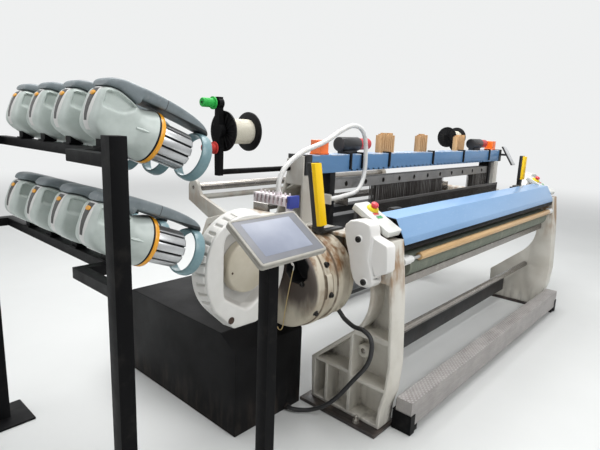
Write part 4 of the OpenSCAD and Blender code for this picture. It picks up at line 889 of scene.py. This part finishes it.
# A row of dark wells painted along the top band: painted shade in the wells.
well_shade = (selector.y + well_pitch / 4).sine(well_pitch).rise(0.1, 0.4)
well_shade = well_shade * selector.z.band(1.220, 1.238, 0.001) * (1 - selector.x.rise(-1.7265, -1.7255))
selector.between(selector.y.rise(-0.302, -0.298), (0.03, 0.05, 0.30), (0.76, 0.70, 0.72))
# Dark red in the corners, from the shade cast there: painted shade.
selector.over(selector.corners(0.02).rise(0.3, 0.9), (0.30, 0.05, 0.06))
selector.over(well_shade, (0.06, 0.03, 0.04))
eased("weft_selector", 0.0015, selector.done(), "block")
box_plastic = Finish("control box plastic", 0.38)
box_plastic.between(box_plastic.speckle(0.08, 4).rise(0.35, 0.8), (0.69, 0.70, 0.67),
                    (0.59, 0.59, 0.55))
# Dirt and painted shade in the boxes' corners.
box_plastic.over(box_plastic.grime(0.03, 0.5) * 0.7, (0.22, 0.19, 0.15))
box_plastic.grain(0.001, 0.0002)
eased("control_boxes", 0.004, box_plastic.done(), "moulding", segments=3, angle=40)
box_x, box_y, box_z, slope = 1.364, -0.591, 1.126, math.radians(28)


def on_box(sign, u, v, w):
    """A point on a control box: u across, v up its slope, w off its face, from its middle."""
    y, z = v * math.cos(slope) - w * math.sin(slope), v * math.sin(slope) + w * math.cos(slope)
    return sign * box_x + u, box_y + y, box_z + z


def squarish(a, power):
    """Points of a superellipse: the cosine and the sine of each angle keep their signs and are
    raised to the power, so that a power of 1 gives a circle and a small one a square."""
    return [np.sign(side) * np.abs(side) ** power for side in (np.cos(a), np.sin(a))]


off_face = (0, -math.sin(slope), math.cos(slope))
collar_yellow = Finish("yellow collar", 0.35)
collar_yellow.colour = (0.80, 0.62, 0.02)
collar_yellow.grain(0.001, 0.0002)
button_red = Finish("red mushroom", 0.28, Coat_Weight=0.3)
button_red.between(button_red.speckle(0.01, 3), (0.62, 0.03, 0.05), (0.8, 0.06, 0.08))
collar = [(0.0, 0.033), (0.004, 0.034), (0.0145, 0.029), (0.0155, 0.0265), (0.0155, 0.0136),
          (0.006, 0.0134)]
mushroom = [(-0.028, 0.0128), (0.0, 0.0128), (0.0005, 0.019), (0.004, 0.0212), (0.009, 0.0213),
            (0.014, 0.0195), (0.0185, 0.0145), (0.0208, 0.0075), (0.0211, 0.001)]
button_u, button_v = 0.02, 0.058
for side, sign in (("left", -1), ("right", 1)):
    for name, profile, w, finish, node, instead, smooth in (
            ("collar", collar, 0.0341, collar_yellow, "control_boxes", False, 35),
            ("mushroom", mushroom, 0.0562, button_red, f"{side}_stop_button", True, 60)):
        at = on_box(sign, -sign * button_u, button_v, w)
        place_piece(f"{side}_{name}", skin(turned(profile, 48, off_face, at)), finish.done(), node,
                    instead, smooth)
round_key = np.linspace(0, 2 * np.pi, 24, endpoint=False)
key_u, key_v = squarish(round_key, 0.4)
for name, colour, v in (("green_keys", (0.02, 0.42, 0.12), -0.009),
                        ("red_keys", (0.70, 0.05, 0.05), 0.019)):
    key = Finish(name.replace("_", " "), 0.4)
    key.between(key.speckle(0.004, 2), tuple(0.8 * c for c in colour), colour)
    keys = []
    for sign in (-1, 1):
        for u in (-0.012, 0.012):
            keys.append([np.stack(on_box(sign, u + 0.0105 * size * key_u,
                                         v + 0.0085 * size * key_v, w + 0 * key_u), -1)
                         for w, size in ((0.0338, 1.0), (0.0358, 1.0), (0.0363, 0.9))])
    place_piece(name, skin(*keys), key.done(), "control_boxes")


# Light curtains beside the reed: bars with yellow plastic front blocks on black backs. The
# left bar leans, so its front block ends on a plane tilted back by 10 degrees.
curtain = Finish("curtain plastic", 0.35)
lean = math.radians(10)
at_left = 1 - curtain.x.rise(-0.1, 0.1)
behind_left = (curtain.y + 0.36) * math.cos(lean) - (curtain.z - 1.085) * math.sin(lean)
behind = behind_left * at_left + (curtain.y + 0.42) * (1 - at_left)
front = (1 - behind.rise(-0.0006, 0.0)) * (curtain.z - 0.094 * (1 - at_left)).rise(1.0856, 1.087)
curtain.between(front, (0.018, 0.018, 0.018), (0.95, 0.60, 0.0))
curtain.grain(0.001, 0.0001)
eased("light_curtains", 0.003, curtain.done(), "block")


# Warp beam, whip roller and stop bars behind the harness: bare aluminium flanges scraped by
# handling, with lightening bores and a steel barrel.
flange_metal = brushed("beam flange metal", (0.46, 0.46, 0.45), 0.42, 0.75, (1, 6, 6), 0.9, 0.5)
warp_y, warp_z, scratch_pitch = 0.7, 0.5, 0.0016
around = distance(flange_metal.y - warp_y, flange_metal.z - warp_z)
flange_metal.relief(around.sine(scratch_pitch) * 0.4 + flange_metal.speckle(0.02, 3), 0.0003)
eased("warp_beam", 0.002, flange_metal.done(), "turned")
eased("whip_roller", 0.0015, bright_steel.material, "turned")
eased("warp_stop_bars", 0.0005, bright_steel.material, "bars")


# Motor casing: a low dark cabinet of painted sheet steel behind the left frame, with louvred
# side plates.
casing_paint = castings("casing paint", (0.007, 0.007, 0.0075), (0.004, 0.004, 0.0042),
                        stained=0.0, corner_dirt_and_shade=0.2)
casing_paint.surface.inputs["Specular IOR Level"].default_value = 0.1
eased("motor_casing", 0.004, casing_paint.done(), "casing")


# Terminal: a sheet steel post and a tilted operator panel: a thin round-cornered grey case on
# a hinge lug, with a narrow rim round a grey glass whose plain display is off.
eased("terminal_post", 0.002, black_paint.material, "post")
hinge = Matrix.Translation((-2.47, -0.943, 1.224)) @ Matrix.Rotation(math.radians(2), 4, "Z")
on_panel = hinge @ Matrix.Rotation(math.radians(35), 4, "X") @ Matrix.Translation((0, 0, 0.050))


def moved(by, rings):
    """Moves points from a matrix's own frame to the loom's."""
    return np.asarray(rings, float) @ np.array(by.to_3x3()).T + np.array(by.translation)


def tablet(half_x, half_y, corner, steps, centre=(0.0, 0.0)):
    """Rings of a rectangle with round corners on the panel: each step is an inset from the edge
    and a height, and each corner an arc about the middle that lies a radius inside it."""
    arc = 8
    a = np.radians(np.concatenate([np.linspace(q, q + 90, arc) for q in (0, 90, 180, 270)]))
    side_x, side_y = np.repeat([(1, -1, -1, 1), (1, 1, -1, -1)], arc, 1)
    rings = []
    for inset, z in steps:
        r = max(corner - inset, 0.0008)
        x = centre[0] + side_x * (half_x - inset - r) + r * np.cos(a)
        y = centre[1] + side_y * (half_y - inset - r) + r * np.sin(a)
        rings.append(np.stack([x, y, z + 0 * x], -1))
    return moved(on_panel, rings)


panel = Finish("terminal plastic", 0.42)
panel.between(panel.speckle(0.06, 4).rise(0.35, 0.8), (0.35, 0.335, 0.295), (0.27, 0.255, 0.22))
# Dirt and painted shade in the panel's corners.
panel.over(panel.grime(0.02, 0.5) * 0.7, (0.10, 0.09, 0.08))
panel.grain(0.001, 0.0002)
case = tablet(0.1425, 0.089, 0.013, (
    (0.0045, 0.0), (0.0018, 0.0007), (0.0003, 0.0025), (0.0, 0.005), (0.0, 0.0125),
    (0.0012, 0.0132), (0.0012, 0.0140), (0.0, 0.0147), (0.0, 0.0165), (0.0008, 0.0187),
    (0.0025, 0.0198), (0.0042, 0.0200), (0.0085, 0.0200), (0.0093, 0.0196), (0.0095, 0.0186)))
lug = tablet(0.018, 0.014, 0.004, ((0.0, -0.040), (0.0, -0.006), (-0.004, 0.001)))
barrel = moved(hinge, turned([(-0.018, 0.0148), (0.018, 0.0148)], 32))
pin = moved(hinge, turned([(-0.031, 0.0067), (0.031, 0.0067)], 24))
place_piece("terminal_case", skin(case, lug, barrel, pin), panel.done(), "terminal", True, 30)
border = tablet(0.1328, 0.0793, 0.0045, ((0.0, 0.0185), (0.0, 0.0194), (0.0004, 0.0197)))
display = tablet(0.102, 0.0625, 0.002, ((0.0, 0.0196), (0.0, 0.0199), (0.0002, 0.0200)),
                 (-0.004, 0.004))
for name, finish_name, rings, dark, light in (
        ("screen_border", "screen glass", border, (0.15, 0.155, 0.175), (0.185, 0.19, 0.21)),
        ("screen", "screen display", display, (0.24, 0.265, 0.335), (0.285, 0.31, 0.385))):
    glass = Finish(finish_name)
    glass.between(glass.speckle(0.08, 3).rise(0.3, 0.8), dark, light)
    glass.roughness = 0.28 + glass.speckle(0.03, 4) * 0.12
    place_piece(name, skin(rings), glass.done(), "terminal")


# Feeder stand: two black box-section masts with arms and rails, on which eight yarn feeders
# sit in two rows.
eased("feeder_stand", 0.002, black_paint.material, "mast")


# Feeders: each has a moulded housing that turns from a box into a round bell, a rounded lid
# that reaches over the slatted drum to an eyelet ring, and an orange flyer. The sections of
# the mouldings are superellipses.
rows = ((-2.433, 1.514), (-2.468, 1.123))
in_row, first_y, feeder_pitch = 4, -0.3, 0.25
feeder_tilt = math.radians(21)


def lofted(stations, sides):
    """Rings along X from stations (x, top, bottom, half width, squareness), each a superellipse
    whose points lie at equal steps along its outline."""
    rings = []
    for x, top, bottom, half, squareness in stations:
        y, z = squarish(np.linspace(0, 2 * np.pi, 721), 2 / squareness)
        y, z = half * y, (top + bottom) / 2 + (top - bottom) / 2 * z
        along = np.concatenate([[0], np.cumsum(np.hypot(np.diff(y), np.diff(z)))])
        at = np.arange(sides) * along[-1] / sides
        rings.append(np.stack([x + 0 * at, np.interp(at, along, y), np.interp(at, along, z)], -1))
    return np.array(rings)


def feeders(name, shells, finish, node, stands_for_it=False, ends=True):
    """Repeats shells from a feeder's frame at all eight places. Every point keeps its place in
    its own feeder's frame as an attribute, which the finishes read."""
    turn = np.array(Matrix.Rotation(feeder_tilt, 3, "Y"))
    places = [(x, first_y + feeder_pitch * i, z) for x, z in rows for i in range(in_row)]
    placed = [shell @ turn.T + place for place in places for shell in shells]
    own = np.vstack([shell.reshape(-1, 3) for shell in shells] * len(places))
    piece = place_piece(name, skin(*placed, ends=ends), finish, node, stands_for_it, 40)
    local = piece.data.attributes.new("own_frame", "FLOAT_VECTOR", "POINT")
    local.data.foreach_set("vector", own.astype(np.float32).ravel())


def own_frame(finish):
    """The three coordinates in a feeder's own frame, as wires."""
    return finish.apart(finish.add("ShaderNodeAttribute", {"attribute_name": "own_frame"},
                                   out="Vector"))


mint = Finish("mint housing plastic", 0.38, Coat_Weight=0.05)
mint.between(mint.speckle(0.06, 4).rise(0.35, 0.8), (0.57, 0.63, 0.595), (0.46, 0.52, 0.485))
# Dirt and painted shade in the housings' corners.
mint.over(mint.grime(0.03, 0.4) * 0.6, (0.12, 0.13, 0.12))
mint.grain(0.0012, 0.0002)
body = curve_through([(-0.300, 0.034, 0.006, 0.026, 3), (-0.299, 0.056, -0.012, 0.044, 3.8),
                      (-0.2955, 0.076, -0.030, 0.056, 5), (-0.287, 0.091, -0.047, 0.0648, 6),
                      (-0.276, 0.0975, -0.057, 0.0672, 6.5), (-0.262, 0.1005, -0.065, 0.068, 6.5),
                      (-0.240, 0.1015, -0.072, 0.068, 6.5), (-0.215, 0.0965, -0.0775, 0.068, 6.5),
                      (-0.190, 0.0905, -0.081, 0.068, 5.5), (-0.172, 0.0855, -0.080, 0.0682, 4.6),
                      (-0.158, 0.0825, -0.0785, 0.0695, 3.4), (-0.145, 0.0805, -0.079, 0.0735, 2.5),
                      (-0.130, 0.083, -0.083, 0.0815, 2.1), (-0.112, 0.0885, -0.0885, 0.0885, 2),
                      (-0.095, 0.0935, -0.0935, 0.0935, 2), (-0.085, 0.0965, -0.0965, 0.0965, 2),
                      (-0.0785, 0.098, -0.098, 0.098, 2)], 4)
body = np.vstack([body, [(-0.0775, 0.0972, -0.0972, 0.0972, 2), (-0.0774, 0.07, -0.07, 0.07, 2)]])
shell = lofted(body, 120)
# Under the lid each side is hollowed between a flange along the top and a lip that rises
# towards the bell; the hollow deepens upwards.
x, z = shell[..., 0], shell[..., 2]
flange = np.interp(x, body[:, 0], body[:, 1]) - 0.0135
lip = 0.022 + 0.062 * np.clip((x + 0.235) / 0.085, 0, 1) ** 2
deep = np.clip((z - lip) / 0.019, 0, 1)
deep = deep ** 2 * (3 - 2 * deep) * np.clip((flange - z) / 0.0035, 0, 1)
deep *= np.clip((x + 0.288) / 0.012, 0, 1) * np.clip((-0.152 - x) / 0.02, 0, 1)
shell[..., 1] *= 1 - 0.27 * deep
ridge = lofted([(-0.154, 0.007, -0.004, 0.0700, 6), (-0.152, 0.009, -0.006, 0.0760, 6),
                (-0.128, 0.010, -0.006, 0.0900, 6), (-0.112, 0.010, -0.006, 0.0925, 6),
                (-0.110, 0.008, -0.004, 0.0915, 6)], 28)
feeders("feeder_shells", [shell, ridge], mint.done(), "feeder_housings", True)
lid_paint = Finish("feeder lid plastic", 0.42)
own_x, _, own_z = own_frame(lid_paint)
# Under the lid's arm the paint is near black: painted shade under the lid.
underside_shade = (1 - (own_z - own_x * 0.02).rise(0.1085, 0.1105)) * own_x.rise(-0.16, -0.155)
seam = own_x.band(-0.062, -0.059, 0.0005)
lid_paint.between(lid_paint.speckle(0.07, 4).rise(0.3, 0.8), (0.205, 0.24, 0.255),
                  (0.15, 0.18, 0.192))
lid_paint.over(underside_shade.larger(seam * 0.8), (0.02, 0.022, 0.024))
lid_paint.over(lid_paint.speckle(0.02, 5).rise(0.55, 0.85) * 0.4, (0.45, 0.46, 0.44))
lid_paint.grain(0.0012, 0.0002)
lid = curve_through([(-0.2915, 0.108, 0.0975, 0.040, 3), (-0.290, 0.116, 0.097, 0.048, 3.4),
                     (-0.284, 0.125, 0.098, 0.055, 4), (-0.272, 0.133, 0.0997, 0.061, 4.6),
                     (-0.255, 0.139, 0.1015, 0.065, 5), (-0.235, 0.1435, 0.1015, 0.066, 5.4),
                     (-0.190, 0.148, 0.091, 0.066, 5.6), (-0.162, 0.150, 0.085, 0.066, 5.6),
                     (-0.157, 0.150, 0.104, 0.066, 5.6), (-0.110, 0.151, 0.1055, 0.066, 5.6),
                     (-0.040, 0.151, 0.106, 0.064, 5.4), (0.010, 0.149, 0.105, 0.060, 5),
                     (0.060, 0.145, 0.1035, 0.054, 4.6), (0.100, 0.1395, 0.1005, 0.048, 4.2),
                     (0.130, 0.133, 0.0975, 0.042, 4), (0.152, 0.124, 0.0955, 0.036, 3.6),
                     (0.166, 0.115, 0.094, 0.030, 3), (0.1725, 0.108, 0.0935, 0.024, 2.6),
                     (0.1745, 0.101, 0.096, 0.014, 2.2)], 3)
feeders("feeder_covers", [lofted(lid, 56)], lid_paint.done(), "feeder_lids", True)
teal = Finish("teal eyelet ring", 0.3)
teal.between(teal.speckle(0.01, 3), (0.14, 0.25, 0.28), (0.22, 0.34, 0.37))
eyelet = turned([(0.126, 0.0865), (0.127, 0.0930), (0.133, 0.0965), (0.145, 0.0990),
                 (0.154, 0.1000), (0.164, 0.1000), (0.169, 0.0982), (0.172, 0.0940),
                 (0.172, 0.0880), (0.169, 0.0848), (0.160, 0.0838), (0.142, 0.0848),
                 (0.126, 0.0865)], 64)
feeders("eyelet_rings", [eyelet], teal.done(), "feeder_lids", ends=False)
orange = Finish("orange flyer", 0.32, Coat_Weight=0.2)
orange.between(orange.speckle(0.02, 3), (0.85, 0.35, 0.01), (0.92, 0.43, 0.02))
flyer = turned([(-0.0708, 0.0206), (-0.0710, 0.096), (-0.0705, 0.0985), (-0.0680, 0.1),
                (-0.0560, 0.1), (-0.0530, 0.0985), (-0.0522, 0.092), (-0.0655, 0.0206),
                (-0.0708, 0.0206)], 64)
feeders("orange_flyers", [flyer], orange.done(), "feeder_flyers", True, ends=False)
seal = turned([(-0.0784, 0.0960), (-0.0784, 0.0985), (-0.0716, 0.0992), (-0.0716, 0.0950),
               (-0.0784, 0.0960)], 64)
feeders("seal_rings", [seal], black_plastic.material, "feeder_housings", ends=False)
silver = brushed("silver drum", (0.60, 0.61, 0.62), 0.3, 0.8, (1, 1, 1), 0.6)
_, own_y, own_z = own_frame(silver)
# Inside the slats' outer faces the drum is painted near black: painted shade between and under the
# slats.
clear_of_inner_shade = distance(own_y, own_z).rise(0.0655, 0.0685)
silver.between(clear_of_inner_shade, (0.012, 0.012, 0.013), silver.colour)
# A slat's section: an outer side that falls off at its edges, and a plain inner side.
across = np.linspace(-1, 1, 9)
there_and_back = np.concatenate([across, across[::-1]])
spread = math.radians(11.6) * there_and_back
r = np.concatenate([0.0752 - 0.0012 * across ** 6, 0.064 + 0 * across])
out, aside = r * np.cos(spread), r * np.sin(spread)
drum = []
for a in np.arange(12) * math.pi / 6:
    drum.append(np.array([
        np.stack([x + 0 * out, out * shrink * math.sin(a) + aside * math.cos(a),
                  out * shrink * math.cos(a) - aside * math.sin(a)], -1)
        for x, shrink in ((-0.0478, 0.985), (-0.046, 1.0), (0.084, 1.0), (0.0895, 0.985),
                          (0.0918, 0.955), (0.0920, 0.93))]))
drum.append(turned([(-0.0478, 0.0625), (0.088, 0.0625), (0.0935, 0.060), (0.0970, 0.052),
                    (0.0985, 0.040), (0.0995, 0.020), (0.0998, 0.004)], 48))
drum.append(turned([(-0.0718, 0.0198), (-0.0475, 0.0198)], 32))
feeders("silver_drums", drum, silver.done(), "feeder_drums", True)


# Feeders' rear ends and clamps: a white plastic tongue with a dark strip down its middle, and
# a flat orange button in it. A black clamp under each housing holds it to the stand's rail.
tongue_white = Finish("white tongue plastic", 0.35)
_, own_y, own_z = own_frame(tongue_white)
strip = 1 - (abs(own_y) - own_z * 0.10).rise(0.0125, 0.0140)
strip = strip * own_z.band(-0.030, 0.086, 0.002)
tongue_white.between(strip, (0.72, 0.72, 0.70), (0.025, 0.024, 0.022))
tongue_white.over(tongue_white.speckle(0.02, 4).rise(0.55, 0.85) * 0.4, (0.40, 0.38, 0.35))
thickness = np.repeat((0.0, 0.007), len(across))
tongue = np.array([
    np.stack([x + 0.004 * there_and_back ** 4 + thickness, half * there_and_back,
              z + 0 * there_and_back], -1)
    for z, x, half in ((0.0925, -0.2905, 0.029), (0.082, -0.2965, 0.031), (0.064, -0.3015, 0.0315),
                       (0.040, -0.3045, 0.031), (0.015, -0.3050, 0.030), (-0.010, -0.3025, 0.028),
                       (-0.030, -0.2975, 0.0255), (-0.046, -0.2895, 0.022),
                       (-0.057, -0.2805, 0.016))])
feeders("white_tongues", [tongue], tongue_white.done(), "feeder_housings")
pip = turned([(0.0, 0.0085), (0.004, 0.0085), (0.006, 0.006), (0.0065, 0.002)], 24,
             (-1, 0, 0.18), (-0.2995, 0, 0.066))
pip[..., 1] *= 2.0
feeders("orange_buttons", [pip], orange.material, "feeder_housings")
rail_x, rail_top = -2.66, 0.0203
lows, highs = [], []
for x, z in rows:
    rail_z = z + (x - rail_x) * math.tan(feeder_tilt) - 0.124
    for y in first_y + feeder_pitch * np.arange(in_row):
        for half_x, half_y, top in ((0.018, 0.022, 0.056), (0.026, 0.028, 0.028)):
            lows.append((rail_x - half_x, y - half_y, rail_z + rail_top))
            highs.append((rail_x + half_x, y + half_y, rail_z + top))
place_piece("feeder_clamps", slabs(lows, highs), black_paint.material, "feeder_housings")
